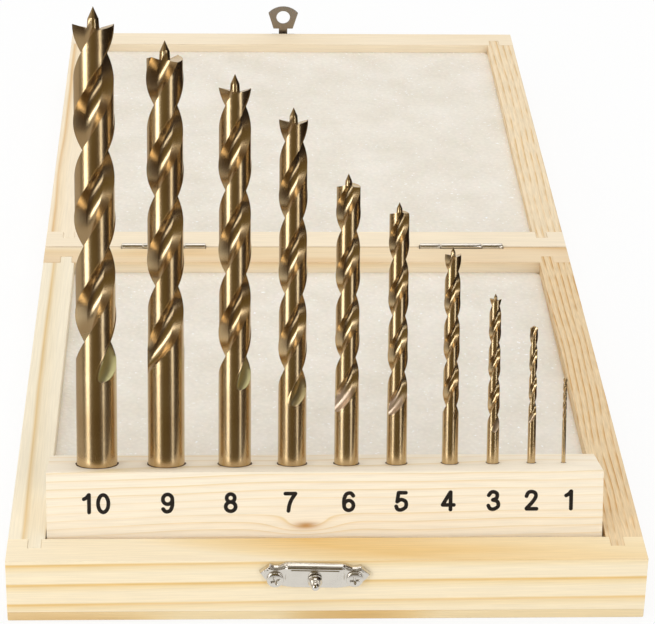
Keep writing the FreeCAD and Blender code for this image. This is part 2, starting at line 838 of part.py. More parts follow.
def fluted_bar(diameter, length, pitch):
    """The drill's section, swept up its axis and turned by a right-hand helix."""
    spine = Part.makePolygon([Vector(), Vector(0, 0, length)])
    helix = Part.makeHelix(pitch, length, diameter)
    sweep = Part.BRepOffsetAPI.MakePipeShell(spine)
    sweep.setAuxiliarySpine(Part.Wire(helix), False, 0)
    sweep.add(drill_section(diameter))
    sweep.build()
    sweep.makeSolid()
    return sweep.shape()


def spur(diameter, lead_angle):
    """One cutting lip: it rises to a scoring tooth at the rim, and slopes down behind the tooth."""
    rim = diameter / 2
    height = SPUR_HEIGHT * diameter
    half_section = Part.makePolygon(
        [Vector(BRAD_RADIUS * diameter, 0, 0), Vector(rim, 0, 0), Vector(rim, 0, height)], True
    )
    ring = Part.Face(half_section).revolve(Vector(), Vector(0, 0, 1), SPUR_LENGTH)
    ring.rotate(Vector(), Vector(0, 0, 1), -SPUR_LENGTH)
    above = Part.makeBox(diameter, diameter, diameter, Vector(0, -diameter, 0))
    slope = math.degrees(math.atan2(height, rim * math.sin(math.radians(SPUR_LENGTH))))
    above.rotate(Vector(), Vector(1, 0, 0), slope)
    above.translate(Vector(0, 0, height))
    tooth = ring.cut(above)
    tooth.rotate(Vector(), Vector(0, 0, 1), lead_angle)
    return tooth


def brad_point(diameter, lip_height, lips):
    """The centre point and both lips, standing on the drill's square end."""
    centre_height = (BRAD_HEIGHT + SPUR_HEIGHT) * diameter
    parts = [Part.makeCone(BRAD_RADIUS * diameter, 0, centre_height)]
    for side in (0, 180):
        parts.append(spur(diameter, side + lips - SPUR_SETBACK))
    for solid in parts:
        solid.translate(Vector(0, 0, lip_height))
    return parts


def plain_pointed(solid, diameter, length):
    """A plain conical point."""
    wide = 0.6 * diameter
    rim_height = length - wide / math.tan(math.radians(POINT_ANGLE / 2))
    profile = Part.makePolygon(
        [Vector(), Vector(wide, 0, 0), Vector(wide, 0, rim_height), Vector(0, 0, length), Vector()]
    )
    envelope = Part.Face(profile).revolve(Vector(), Vector(0, 0, 1), 360)
    return solid.common(envelope)


def drill(diameter):
    """A two-flute twist drill, upright with the end of its shank at the origin."""
    name = "drill_%dmm" % diameter
    length = getattr(sizes, name + "_length")
    pitch = getattr(sizes, name + "_pitch")
    lips = getattr(sizes, name + "_lips")
    radius = diameter / 2
    brad = diameter >= BRAD_POINTS_FROM
    square_end = length - ((BRAD_HEIGHT + SPUR_HEIGHT) * diameter if brad else 0)
    shank_length = length - getattr(sizes, name + "_flutes")
    bar_length = square_end - shank_length
    twist = 360 * bar_length / pitch
    bar = fluted_bar(diameter, bar_length, pitch)
    bar.rotate(Vector(), Vector(0, 0, 1), lips + math.degrees(flute_half_angle(diameter)) - twist)
    bar.translate(Vector(0, 0, shank_length))
    bevel = 0.05 * diameter
    shank = Part.makeCylinder(radius, shank_length - bevel, Vector(0, 0, bevel))
    shank_end = Part.makeCone(radius - bevel, radius, bevel)
    runout = Part.makeCone(
        radius, WEB_PER_DIAMETER * radius, RUNOUT_PER_DIAMETER * diameter, Vector(0, 0, shank_length)
    )
    solid = shank.fuse([shank_end, runout, bar])
    if brad:
        solid = solid.fuse(brad_point(diameter, square_end, lips))
    else:
        solid = plain_pointed(solid, diameter, length)
    return solid.removeSplitter()


def drills(block_place):
    """Each drill stands on the bottom of its hole."""
    for diameter in HOLE_PLACES:
        name = "drill_%dmm" % diameter
        solid = doc.addObject("Part::Feature", name)
        solid.Shape = drill(diameter)
        hole = doc.getObject(name + "_hole")
        solid.Placement = block_place.multiply(hole.Placement)
        piece(solid, name)


def check_and_write():
    """Stop at anything that failed, then write one STEP file for each piece."""
    doc.recompute()
    for thing in doc.Objects:
        for state in thing.State:
            if state in ("Invalid", "Error"):
                raise RuntimeError("%s is %s" % (thing.Label, state))
    os.makedirs("parts", exist_ok=True)
    for thing in pieces:
        shape = thing.Shape
        if shape.isNull() or not shape.isValid() or len(shape.Solids) != 1:
            raise RuntimeError("%s is not one valid solid" % thing.Label)
    for thing in pieces:
        thing.Shape.exportStep("parts/%s.step" % thing.Label)


pins = pivot_pins()
frames(hinges(), pins, catch(), hasp())
tilting_block = block()
doc.recompute()
drills(tilting_block.Placement)
check_and_write()
print(len(pieces), "pieces")
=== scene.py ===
# %% [markdown]
# # A pine case with ten twist drills
#
# The case lies open flat: the base in front, the lid behind it, a foam pad in each, and a block at the
# front that holds the drills upright. The CAD nodes give the joints and the sizes of the boards and the
# hardware. The drills' sizes and the block's place are written here again, and have to match the CAD's.
# This lesson dresses the nodes: boards keep their CAD shape and get softened edges and a pine grain, and
# drills, screws, foam, numbers and the catch plate are surfaces of their own, worked out with numpy.

# %% Load the frame
import math

import bpy
import numpy as np
from mathutils import Matrix, Vector


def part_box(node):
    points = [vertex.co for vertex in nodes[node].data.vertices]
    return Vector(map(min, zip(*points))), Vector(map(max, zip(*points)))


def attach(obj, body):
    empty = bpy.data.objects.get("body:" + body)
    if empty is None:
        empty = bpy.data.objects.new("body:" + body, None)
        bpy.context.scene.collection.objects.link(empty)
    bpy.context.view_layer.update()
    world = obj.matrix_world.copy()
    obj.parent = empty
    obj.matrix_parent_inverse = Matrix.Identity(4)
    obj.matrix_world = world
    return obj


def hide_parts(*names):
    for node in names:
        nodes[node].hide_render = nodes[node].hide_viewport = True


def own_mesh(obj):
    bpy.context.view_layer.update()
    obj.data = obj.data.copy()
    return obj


MM = 0.001
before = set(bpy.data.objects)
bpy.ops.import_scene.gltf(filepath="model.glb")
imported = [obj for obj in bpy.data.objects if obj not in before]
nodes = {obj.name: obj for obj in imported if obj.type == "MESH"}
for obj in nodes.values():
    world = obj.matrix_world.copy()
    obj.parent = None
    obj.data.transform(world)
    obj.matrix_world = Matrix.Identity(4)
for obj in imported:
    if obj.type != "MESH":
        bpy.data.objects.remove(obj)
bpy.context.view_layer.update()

# %% [markdown]
# ## Small tools
#
# Colours are written as they look on a screen, in hex, and the shaders want them linear. A node is added
# with its settings and links in one call, and the kinds that come back often have a call of their own. A
# closed surface is a stack of rings of points, each ring as long as the next, with a fan of triangles at
# both ends, which suits everything that is turned, drilled or cut from a sheet.

# %% Colour, node and surface helpers


def linear(code):
    """The linear colour of an sRGB hex value: below 0.04045 divide by 12.92, above it take the 2.4 power."""
    part = np.array([int(code[k : k + 2], 16) for k in (1, 3, 5)]) / 255
    part = np.where(part <= 0.04045, part / 12.92, ((part + 0.055) / 1.055) ** 2.4)
    return (*part.tolist(), 1.0)


def add(tree, kind, inputs=None, **settings):
    """Add one node, set what it is told, and link or fill its inputs by name or number."""
    made = tree.nodes.new(kind)
    for name, value in settings.items():
        setattr(made, name, value)
    for socket, value in (inputs or {}).items():
        if isinstance(value, bpy.types.NodeSocket):
            tree.links.new(value, made.inputs[socket])
        else:
            made.inputs[socket].default_value = value
    return made


def new_material(name):
    """A material with its tree emptied, and its output node."""
    material = bpy.data.materials.new(name)
    material.use_nodes = True
    material.node_tree.nodes.clear()
    return material, material.node_tree, add(material.node_tree, "ShaderNodeOutputMaterial")


def ramp(tree, factor, stops):
    """A colour ramp node from (position, hex) stops, lowest first."""
    made = add(tree, "ShaderNodeValToRGB", {"Fac": factor})
    band = made.color_ramp
    for at, code in stops[1:-1]:
        band.elements.new(at)
    for element, (at, code) in zip(band.elements, stops):
        element.position = at
        element.color = linear(code)
    return made.outputs["Color"]


def scaled(tree, vector, scale):
    """A vector with each of its three parts scaled."""
    return add(tree, "ShaderNodeMapping", {"Vector": vector, "Scale": scale}).outputs["Vector"]


def noise(tree, vector, scale, detail):
    """The outputs of a noise texture, Fac and Color."""
    return add(tree, "ShaderNodeTexNoise", {"Vector": vector, "Scale": scale, "Detail": detail}).outputs


def calc(tree, operation, *values):
    """The result of a Math node."""
    return add(tree, "ShaderNodeMath", dict(enumerate(values)), operation=operation).outputs[0]


def vector_calc(tree, operation, *values):
    """The result of a Vector Math node: a vector, or a number where it is a length."""
    made = add(tree, "ShaderNodeVectorMath", dict(enumerate(values)), operation=operation)
    return made.outputs["Value" if operation == "LENGTH" else "Vector"]


def span(tree, value, start, end, low, high):
    """Turn a value's way from start to end into one from low to high, and hold it there outside."""
    limits = {"Value": value, "From Min": start, "From Max": end, "To Min": low, "To Max": high}
    return add(tree, "ShaderNodeMapRange", limits).outputs["Result"]


def blend(tree, factor, first, second):
    """The first colour where the factor is 0, the second where it is 1."""
    colours = {"Factor": factor, 6: first, 7: second}
    return add(tree, "ShaderNodeMix", colours, data_type="RGBA").outputs[2]


def bumps(tree, height, strength, distance, **settings):
    """The normals of a surface with fine relief."""
    relief = {"Height": height, "Strength": strength, "Distance": distance}
    return add(tree, "ShaderNodeBump", relief, **settings).outputs["Normal"]


def cover(tree, output, inputs):
    """End a material with a Principled surface."""
    skin = add(tree, "ShaderNodeBsdfPrincipled", inputs)
    tree.links.new(skin.outputs["BSDF"], output.inputs["Surface"])


def ring_faces(count, around):
    """Quads between neighbouring rings, then the fans at the first and the last ring."""
    here = np.arange(around)
    after = (here + 1) % around
    row = np.arange(count - 1)[:, None] * around
    quads = np.stack([row + here, row + after, row + around + after, row + around + here], -1)
    last = (count - 1) * around
    pole = np.full(around, count * around)
    low_fan = np.stack([after, here, pole], -1)
    high_fan = np.stack([last + here, last + after, pole + 1], -1)
    return quads.reshape(-1, 4).tolist() + low_fan.tolist() + high_fan.tolist()


def mesh_object(name, points, faces):
    """An object in the scene, from points in millimetres and faces."""
    mesh = bpy.data.meshes.new(name)
    mesh.from_pydata((points * MM).tolist(), [], faces)
    thing = bpy.data.objects.new(name, mesh)
    bpy.context.scene.collection.objects.link(thing)
    return thing


def ringed(name, rings, low_pole, high_pole, sharp):
    """A closed surface through rings of points, anticlockwise as seen from its far end. Edges that bend by
    more than sharp degrees stay hard."""
    count, around = rings.shape[:2]
    points = np.concatenate([rings.reshape(-1, 3), [low_pole, high_pole]])
    thing = mesh_object(name, points, ring_faces(count, around))
    thing.data.shade_smooth()
    thing.data.set_sharp_from_angle(angle=math.radians(sharp))
    return thing


def turned(profile, around):
    """Rings of a surface of revolution: the (radius, height) rows of a profile, at each angle around."""
    radius, height = profile[:, :1], profile[:, 1:]
    across, up = radius * np.cos(around), radius * np.sin(around)
    return np.stack([across, up, np.repeat(height, len(around), 1)], -1)


def dress(thing, material, body, slot, *stands_for):
    """Give a new piece its material and the body that it rides on, and hide the nodes it stands for. The slot
    is not used.
    """
    thing.data.materials.append(material)
    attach(thing, body)
    if stands_for:
        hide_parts(*stands_for)
    return thing


# %% [markdown]
# ## Pine
#
# The case is unfinished planed pine. A board is a slice of a tree, so its grain is a set of rings about
# the pith, with a pale spring growth that darkens slowly to a narrow orange summer growth and then jumps
# back to pale. The material works that out: the distance from the pith line, bent by a slow noise, taken
# over the ring spacing, and its fraction through a colour ramp. The same board then shows straight lines
# on one face and bows on another, as a real one does. Fine fibres along the grain go over it.
#
# A Mapping node turns each board's grain to the pattern's Z axis and sets the pith beside the board.

# %% The pine material

GRAIN_TURN = {"x": Matrix.Rotation(-math.pi / 2, 3, "Y"), "y": Matrix.Rotation(math.pi / 2, 3, "X")}
PER_MM = (1 / MM, 1 / MM, 1 / MM)  # from metres to millimetres
SEED_STEP = 37.0  # millimetres along the grain from one seed to the next
WANDER = 6.0  # width of the noise that moves the rings, in millimetres
KNOT_COLOUR = "#C8965A"


def pine(name, grain, pith, spacing, tones, wander, fade, seed, rise=0.0, rough=1.0, knot=None):
    """Planed pine.

    The pith is (across, up) in millimetres, the spacing is one year's growth, and the tones are pale, deep
    and line. Wander bends the rings, fade takes them out in places, and rise is the grain's slope up
    along X. A rough board has coarse, short, dark fibres. A knot is (x, y, z, push, size): the rings swell
    round it by push.
    """
    material, tree, output = new_material(name)
    pale, deep, line = tones
    place = add(tree, "ShaderNodeTexCoord").outputs["Object"]
    turn = GRAIN_TURN[grain] @ Matrix.Rotation(rise, 3, "Y")
    across, up = pith
    heart = turn @ (Vector((0, across, up)) if grain == "x" else Vector((across, 0, up)))
    shift = Vector((-heart.x, -heart.y, SEED_STEP * seed))
    along = add(
        tree,
        "ShaderNodeMapping",
        {"Vector": place, "Location": shift, "Rotation": turn.to_euler(), "Scale": PER_MM},
    ).outputs["Vector"]
    # The rings wander by a millimetre or two over a hand's width across and a few hands along.
    bend = noise(tree, scaled(tree, along, (0.030, 0.030, 0.0085)), 1.0, 2.0)["Color"]
    bend = vector_calc(tree, "SUBTRACT", bend, (0.5, 0.5, 0.5))
    wandered = vector_calc(tree, "MULTIPLY_ADD", bend, (WANDER * wander, WANDER * wander, 0.0), along)
    radius = vector_calc(tree, "LENGTH", vector_calc(tree, "MULTIPLY", wandered, (1.0, 1.0, 0.0)))
    if knot:
        *middle, push, size = knot
        away = vector_calc(tree, "SUBTRACT", along, turn @ Vector(middle) + shift)
        squeezed = vector_calc(tree, "MULTIPLY", away, (1 / size, 0.15 / size, 0.3 / size))
        # A bell curve over the distance d from the knot's middle: 0.37 ^ (d ^ 2).
        square = calc(tree, "POWER", vector_calc(tree, "LENGTH", squeezed), 2.0)
        swell = calc(tree, "POWER", 0.37, square)
        radius = calc(tree, "MULTIPLY_ADD", swell, push, radius)
    growth = calc(tree, "FRACT", calc(tree, "DIVIDE", radius, spacing))
    year = ((0.0, pale), (0.50, pale), (0.78, deep), (0.91, line), (0.97, deep), (1.0, pale))
    rings = ramp(tree, growth, year)
    # Each ring is stronger in some stretches than in others.
    patch = scaled(tree, along, (0.16, 0.16, 0.012 + 0.07 * (rough - 1)))
    faint = span(tree, noise(tree, patch, 1.0, 1.0)["Fac"], 0.35, 0.6, fade, 0.0)
    wood = blend(tree, faint, rings, linear(pale))
    if knot:
        wood = blend(tree, calc(tree, "POWER", swell, 8.0), wood, linear(KNOT_COLOUR))
    # Fibres: 0.35 mm across, and 12 mm long where the board is planed smooth.
    fibre = noise(tree, scaled(tree, along, (2.8, 2.8, 0.08 * rough)), 1.0, 3.0)["Fac"]
    shade = span(tree, fibre, 0.3, 0.7, 1.0 - 0.07 * rough, 1.03)
    skin = {
        "Base Color": vector_calc(tree, "MULTIPLY", wood, shade),
        "Roughness": 0.62,
        "Specular IOR Level": 0.3,
        "Normal": bumps(tree, fibre, 0.35, 0.00006),
    }
    cover(tree, output, skin)
    return material


# %% [markdown]
# ## The boards
#
# The boards keep their CAD shape. A planed board's edges are broken with one stroke of sandpaper, and
# that thin soft line is what makes a corner catch the light, so each board gets three modifiers: Weld
# joins its loose triangles, Decimate takes out the lines across flat faces, and Bevel rounds what is left.

# %% Dress the boards


def ease(node, width):
    """Soften a node's edges by a width in millimetres. The node's own mesh stays as it is."""
    node.modifiers.new("joined", "WELD").merge_threshold = 0.002 * MM
    flat = node.modifiers.new("flat", "DECIMATE")
    flat.decimate_type = "DISSOLVE"
    flat.angle_limit = math.radians(1.0)
    edge = node.modifiers.new("eased", "BEVEL")
    edge.width = width * MM
    edge.segments = 2
    edge.limit_method = "ANGLE"
    edge.angle_limit = math.radians(30.0)
    edge.use_clamp_overlap = True


def repaint(name, material):
    """Put a material on a CAD node."""
    slots = nodes[name].material_slots
    if slots:
        for slot in slots:
            slot.material = material
    else:
        nodes[name].data.materials.append(material)


# Pale, deep and line of an ordinary board, and of the two thin panels.
TONES = ("#F4E4C8", "#EAD0A4", "#DCB277")
PLY_TONES = ("#EFDAB0", "#E6C891", "#D8AE6A")
boards = {
    "base_front_wall": pine(
        "pine front board", "x", (-73.5, -122.4), 5.6,
        ("#F8E8C8", "#F2DAAB", "#EAC27A"), 0.1, 0.3, 1.0, rise=0.012,
    ),
    "base_hinge_wall": pine("pine rear board", "x", (86.0, -60.0), 6.0, TONES, 0.8, 0.5, 2.0),
    "base_left_wall": pine(
        "pine left board", "y", (-30.0, 8.0), 9.2, ("#F4E8CE", "#F0E1C2", "#E1C28B"), 0.5, 0.2, 3.0
    ),
    "base_right_wall": pine(
        "pine right board", "y", (46.0, 2.0), 1.5,
        ("#EED3A8", "#E2BD86", "#C98F4C"), 1.1, 0.9, 4.0, rough=2.6,
    ),
    "lid_front_wall": pine("pine lid front board", "x", (251.0, -70.0), 6.0, TONES, 0.8, 0.5, 5.0),
    "lid_hinge_wall": pine("pine lid rear board", "x", (90.0, -40.0), 7.0, TONES, 0.8, 0.6, 6.0),
    "lid_left_wall": pine(
        "pine lid left board", "y", (-40.0, 8.0), 7.5, (TONES[0], "#EFDAB6", "#DDB47A"), 0.6, 0.3, 7.0
    ),
    "lid_right_wall": pine(
        "pine lid right board", "y", (44.0, 4.0), 1.8,
        ("#F2DDBA", "#E9CB9B", "#DBB27A"), 1.0, 0.9, 8.0, rough=2.2,
    ),
    "base_bottom_panel": pine("pine ply base", "x", (60.0, 0.0), 5.0, PLY_TONES, 0.8, 0.5, 9.0),
    "lid_top_panel": pine("pine ply lid", "x", (60.0, 160.0), 5.0, PLY_TONES, 0.8, 0.5, 10.0),
    "bit_block": pine(
        "pine block", "x", (-96.0, -22.0), 2.0,
        ("#FBEED7", "#F8E6C9", "#EFD7A6"), 1.3, 0.6, 11.0, rise=0.03, knot=(-5.1, -72.7, 19.2, 3.6, 2.4),
    ),
}
for name, material in boards.items():
    repaint(name, material)
    ease(nodes[name], 0.3)
print("dressed", len(boards), "boards")

# %% [markdown]
# ## Foam pads
#
# White closed-cell foam fills both halves. It is cut from sheet with a knife, so its edges are slightly
# rounded where the cut pulled, and its skin is a little wavy. A pad is a stack of rounded rectangles: up
# the side, round the rim and inward over the top, where a few slow waves move it by tenths of a
# millimetre. The waves die out at the rim, so the pad keeps its CAD height there. At the sides it is a
# little larger than its CAD solid, and presses on the walls.

# %% The foam material and the pads


def foam_finish():
    """Expanded polyethylene: cells of a millimetre, with painted glints: white specks in the colour."""
    material, tree, output = new_material("expanded polyethylene foam")
    size = scaled(tree, add(tree, "ShaderNodeTexCoord").outputs["Object"], PER_MM)
    cells = add(tree, "ShaderNodeTexVoronoi", {"Vector": size, "Scale": 0.9}, feature="SMOOTH_F1")
    depth = cells.outputs["Distance"]
    ground = ramp(tree, noise(tree, size, 0.07, 3.0)["Fac"], ((0.3, "#E2DACB"), (0.7, "#ECE5D9")))
    # Painted glints: white specks mixed into the base colour where the cells would sparkle in the light.
    painted_glint = span(tree, noise(tree, size, 1.1, 1.0)["Fac"], 0.68, 0.78, 0.0, 0.9)
    shown = blend(tree, painted_glint, ground, linear("#FFFFFF"))
    mottle = span(tree, depth, 0.1, 0.8, 1.03, 0.95)
    skin = {
        "Base Color": vector_calc(tree, "MULTIPLY", shown, mottle),
        "Roughness": 0.7,
        "Subsurface Weight": 0.08,
        "Subsurface Scale": 0.002,
        "Normal": bumps(tree, depth, 0.5, 0.0002, invert=True),
    }
    cover(tree, output, skin)
    return material


def rounded_outline(half_x, half_y, corner, around):
    """A rectangle with round corners: a superellipse, whose power sets how tight they are."""
    power = 2 + 1.2 * min(half_x, half_y) / corner  # 2 is an ellipse
    turn = 2 * np.pi * (np.arange(around) + 0.5) / around
    grow = (np.abs(np.cos(turn)) ** power + np.abs(np.sin(turn)) ** power) ** (-1 / power)
    return np.stack([half_x * grow * np.cos(turn), half_y * grow * np.sin(turn)], -1)


SNUG = 0.45  # the knife leaves the pad a little large
RIM, FOOT, CORNER = 0.45, 0.5, 0.8  # roundings at the top, the bottom and the corners, in millimetres
PAD_AROUND, PAD_INWARD = 360, 40  # points round the pad, and rings over its top
SINK = 0.3  # the skin lies this much lower inside its rim, and the waves go up and down from there


def foam_pad(node):
    """A pad of foam in its node's box."""
    low, high = (np.array(corner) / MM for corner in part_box(node))
    middle, half = (low + high) / 2, (high - low) / 2 + np.array([SNUG, SNUG, 0])
    bend = np.linspace(0, np.pi / 2, 7)
    inset = np.concatenate([[FOOT, 0], RIM * (1 - np.cos(bend)), np.full(PAD_INWARD, RIM)])
    side = high[2] - RIM + RIM * np.sin(bend)
    height = np.concatenate([[low[2], low[2] + FOOT], side, np.full(PAD_INWARD, high[2])])
    shrink = np.concatenate([np.ones(2 + len(bend)), np.linspace(1, 0.01, PAD_INWARD + 1)[1:]])
    outer = rounded_outline(half[0], half[1], CORNER, PAD_AROUND)
    unit = outer / np.linalg.norm(outer, axis=1, keepdims=True)
    flat = (outer[None] - inset[:, None, None] * unit[None]) * shrink[:, None, None]
    x, y = middle[0] + flat[..., 0], middle[1] + flat[..., 1]
    waves = 0.16 * np.sin(x / 7.1 + 0.4) * np.cos(y / 9.3) + 0.12 * np.sin(x / 3.7 - y / 5.2 + 1.3)
    inside = np.clip((1 - shrink) / 0.12, 0, 1)[:, None]
    on_top = height[:, None] >= high[2] - 0.001
    z = height[:, None] + np.where(on_top, (waves - SINK) * inside, 0)
    poles = (*middle[:2], low[2]), (*middle[:2], z[-1].mean())
    pad = ringed(node + "_sheet", np.stack([x, y, z], -1), *poles, 60)
    body = "base" if node.startswith("base") else "lid"
    dress(pad, foam, body, "foam", node)
    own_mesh(pad)
    return pad


foam = foam_finish()
pads = [foam_pad("base_foam_pad"), foam_pad("lid_foam_pad")]
print("pads of", [len(pad.data.polygons) for pad in pads], "faces")

# %% [markdown]
# ## Twist drills
#
# A twist drill is a round bar with two flutes ground along a helix. Where a flute starts, the wheel
# lifts out, so it ends in a long thumbnail shape. Each land keeps full size only on a thin margin behind
# its cutting edge, and the rest of it is ground a hair smaller. Brad-point drills end in a centre spike
# and two lips that rise to a tooth at the rim. The two thinnest have a plain cone.
#
# The surface is a grid: columns go round the section and rows go up the drill. The radius of a column
# is the distance to the near side of the wheel's circle, and on the lands it is the bar's. The angle adds
# one turn for each pitch of height. The rows stop at the height of the point's surface, and then run
# inward to the tip.

# %% The drill surface

WEB, WHEEL = 0.24, 0.8  # half the web between the flutes, and the wheel that grinds them, per radius
POINT, TOOTH, SPIKE = 0.52, 0.11, 0.30  # point and tooth height per diameter, spike width per radius
CLEARANCE, MARGIN = 0.03, 0.15  # land ground down, per radius; margin in radians
RELIEF = 0.2  # the point falls away behind its lips
PLAIN_POINT = math.radians(59)  # half the angle of the plain cone
RUNOUT, BEVEL = 1.25, 0.05  # a flute's end and the foot's bevel, per diameter
FLUTE_COLUMNS, LAND_COLUMNS = 27, 20
RUNOUT_ROWS, PITCH_ROWS, CLIMB_ROWS = 22, 44, 8
# Rings over the point, per radius, closer together where the spike stands.
INWARD = (0.93, 0.82, 0.7, 0.58, 0.46, 0.38, 0.33, 0.305, 0.295, 0.285, 0.27, 0.2, 0.12, 0.05, 0.015)


def section(lift, radius, relieved):
    """Angle, radius, lag behind the cutting edge and share in the flute of each column, for rows with the
    wheel lifted by lift.

    A ray at angle a meets the wheel's circle at c cos a - sqrt(f^2 - c^2 sin^2 a).
    """
    lift, relieved = lift[:, None], relieved[:, None]
    wheel = WHEEL * radius
    centre = WEB * radius + wheel + lift
    half = np.arccos(np.clip((centre**2 + radius**2 - wheel**2) / (2 * centre * radius), -1, 1))
    half = np.maximum(half, 0.01)
    edge = np.pi - half
    across = np.linspace(-1, 1, FLUTE_COLUMNS)[None]
    in_flute = across * half
    root = np.sqrt(np.clip(wheel**2 - (centre * np.sin(in_flute)) ** 2, 0, None))
    ground = radius * (1 - CLEARANCE * relieved)
    depth = np.minimum(centre * np.cos(in_flute) - root, np.where(across > 0, ground, radius))
    land = np.linspace(0, 1, LAND_COLUMNS + 1)[None, 1:]
    on_land = half + land * (edge - MARGIN - half)
    on_margin = edge - MARGIN + np.array([0.02, 0.5 * MARGIN])[None]
    angle = np.concatenate([in_flute, on_land, on_margin], 1)
    size = np.concatenate([depth, ground + 0 * on_land, radius + 0 * on_margin], 1)
    lag = (across + 1) / 2 * (np.pi - 2 * half)
    lag = np.concatenate([lag, edge - on_land, edge - on_margin], 1)
    cut = np.concatenate([np.ones_like(in_flute), np.zeros_like(on_land), np.zeros_like(on_margin)], 1)
    return angle, size, lag, cut


def point_height(size, lag, radius, brad):
    """Height of the point's surface over its lips, at a distance from the axis."""
    share = size / radius
    if not brad:
        return -size / math.tan(PLAIN_POINT)
    lip = 2 * TOOTH * radius * np.clip((share - SPIKE) / (1 - SPIKE), 0, 1)
    lip = lip - RELIEF * lag * size * np.clip((share - SPIKE) / 0.2, 0, 1)
    # The spike's outer tenth rises steeply to 0.43 of its height, and the rest is a cone.
    blunt = share / SPIKE
    rise = np.where(blunt > 0.9, 0.43 * (1 - blunt) / 0.1, 0.43 + 0.57 * (1 - blunt / 0.9))
    return np.where(share < SPIKE, 2 * POINT * radius * rise, lip)


def repeated(row, count):
    """The last row of a grid, count times."""
    return np.repeat(row[-1:], count, 0)


def drill_surface(diameter, length, flutes, pitch, lips):
    """Rings of a drill that stands on the origin, and how much each point belongs to a flute's end."""
    radius = diameter / 2
    brad = diameter >= 3
    start = length - flutes
    lip_level = length - (POINT * diameter if brad else 0)
    runout = RUNOUT * diameter
    low_rows = start + runout * np.linspace(0, 1, RUNOUT_ROWS)
    high_rows = np.arange(start + runout, lip_level - 0.35 * diameter, pitch / PITCH_ROWS)[1:]
    rows = np.concatenate([[0.0, BEVEL * diameter, start - 0.001], low_rows, high_rows])
    lift = (1 - WEB) * radius * np.clip((start + runout - rows) / runout, 0, 1) ** 2
    relieved = np.clip((rows - start) / runout, 0, 1)
    angle, size, lag, cut = section(lift, radius, relieved)
    bare = cut * np.clip(lift / (0.12 * radius), 0, 1)[:, None] * (rows > start)[:, None]
    size[0] -= BEVEL * diameter
    height = np.repeat(rows[:, None], angle.shape[1], 1)
    # From the last straight row up to the point's own surface.
    top = lip_level + point_height(size[-1], lag[-1], radius, brad)
    climb = np.linspace(0, 1, CLIMB_ROWS + 1)[1:, None]
    height = np.concatenate([height, rows[-1] + climb * (top - rows[-1])])
    angle = np.concatenate([angle, repeated(angle, CLIMB_ROWS)])
    size = np.concatenate([size, repeated(size, CLIMB_ROWS)])
    twist = 2 * np.pi * (np.maximum(height, start) - lip_level) / pitch
    # Inward over the point. No ring may lie outside the one before it.
    inward = np.array(INWARD)[:, None] * radius
    shrink = 1 - 0.001 * np.arange(1, len(INWARD) + 1)[:, None]
    inward = np.minimum(inward, size[-1:] * shrink)
    over = lip_level + point_height(inward, lag[-1:], radius, brad)
    angle = np.concatenate([angle, repeated(angle, len(INWARD))])
    twist = np.concatenate([twist, repeated(twist, len(INWARD))])
    size = np.concatenate([size, inward])
    height = np.concatenate([height, over])
    bare = np.concatenate([bare, np.zeros((len(height) - len(bare), bare.shape[1]))])
    edge = np.arccos(((WEB + WHEEL) ** 2 + 1 - WHEEL**2) / (2 * (WEB + WHEEL)))
    turn = angle + twist + math.radians(lips) + edge
    turn = np.concatenate([turn, turn + np.pi], 1)
    size, height, bare = (np.concatenate([part, part], 1) for part in (size, height, bare))
    rings = np.stack([size * np.cos(turn), size * np.sin(turn), height], -1)
    return rings, bare


# %% [markdown]
# ## Bronze finish of the drills
#
# Cobalt high-speed steel that is tempered in air takes a bronze straw colour. It is a metal, so the
# colour is in its reflection. The shank is ground round, which leaves fine lines across it, and on most
# drills the end of each flute has a paler tone, where the wheel came out last.

# %% The drill steel


def drill_steel(name, ends):
    """Tempered cobalt steel, ground: a bronze metal with lines across the bar about a sixth of a
    millimetre apart, and a tone of its own where the flutes end."""
    material, tree, output = new_material(name)
    bar = add(tree, "ShaderNodeUVMap", uv_map="bar").outputs["UV"]
    grind = noise(tree, scaled(tree, bar, (0.5, 6.0, 1.0)), 1.0, 2.0)["Fac"]
    heat = noise(tree, add(tree, "ShaderNodeTexCoord").outputs["Object"], 90.0, 2.0)["Fac"]
    bronze = ramp(tree, heat, ((0.35, "#C6AC83"), (0.65, "#D2BB94")))
    bare = add(tree, "ShaderNodeAttribute", attribute_name="bare").outputs["Fac"]
    shine = span(tree, grind, 0.3, 0.7, 0.259, 0.267)
    skin = {
        "Base Color": blend(tree, bare, bronze, linear(ends)),
        "Metallic": 1.0,
        "Roughness": calc(tree, "MULTIPLY_ADD", bare, 0.2, shine),
        "Normal": bumps(tree, grind, 0.04, 0.000008),
    }
    cover(tree, output, skin)
    return material


# %% Stand the drills in their holes

LEAN = math.radians(17.0)
PIVOT = Vector((0, -61.5, 10.4)) * MM
BLOCK = Matrix.Translation(PIVOT) @ Matrix.Rotation(-LEAN, 4, "X")
DRILLS = (
    # diameter, length, flutes, pitch, hole depth, hole from the block's left end, angle of the lips
    (10, 133.0, 90.7, 46.9, 21.0, 12.0, 1.0),
    (9, 125.0, 81.0, 44.1, 21.0, 29.0, 43.5),
    (8, 117.0, 76.8, 40.9, 21.0, 45.8, -15.5),
    (7, 109.0, 72.9, 37.3, 21.0, 59.9, -3.0),
    (6, 93.0, 58.9, 31.4, 21.0, 73.3, 75.0),
    (5, 86.0, 52.6, 28.0, 21.0, 85.7, -84.0),
    (4, 75.0, 43.0, 22.4, 21.0, 98.9, 10.5),
    (3, 61.0, 34.5, 18.2, 18.5, 109.5, -22.5),
    (2, 49.0, 24.4, 14.4, 14.5, 119.1, 64.0),
    (1, 34.0, 11.2, 4.6, 12.5, 127.1, 50.0),
)
# How strongly the ends of each drill's flutes show.
BARE_ENDS = {10: 1.0, 8: 0.9, 7: 0.4, 6: 0.9, 5: 0.8, 3: 0.6, 2: 0.5}
BLOCK_LEFT, BIT_PLANE, BLOCK_TOP = -68.2, -4.6, 18.6


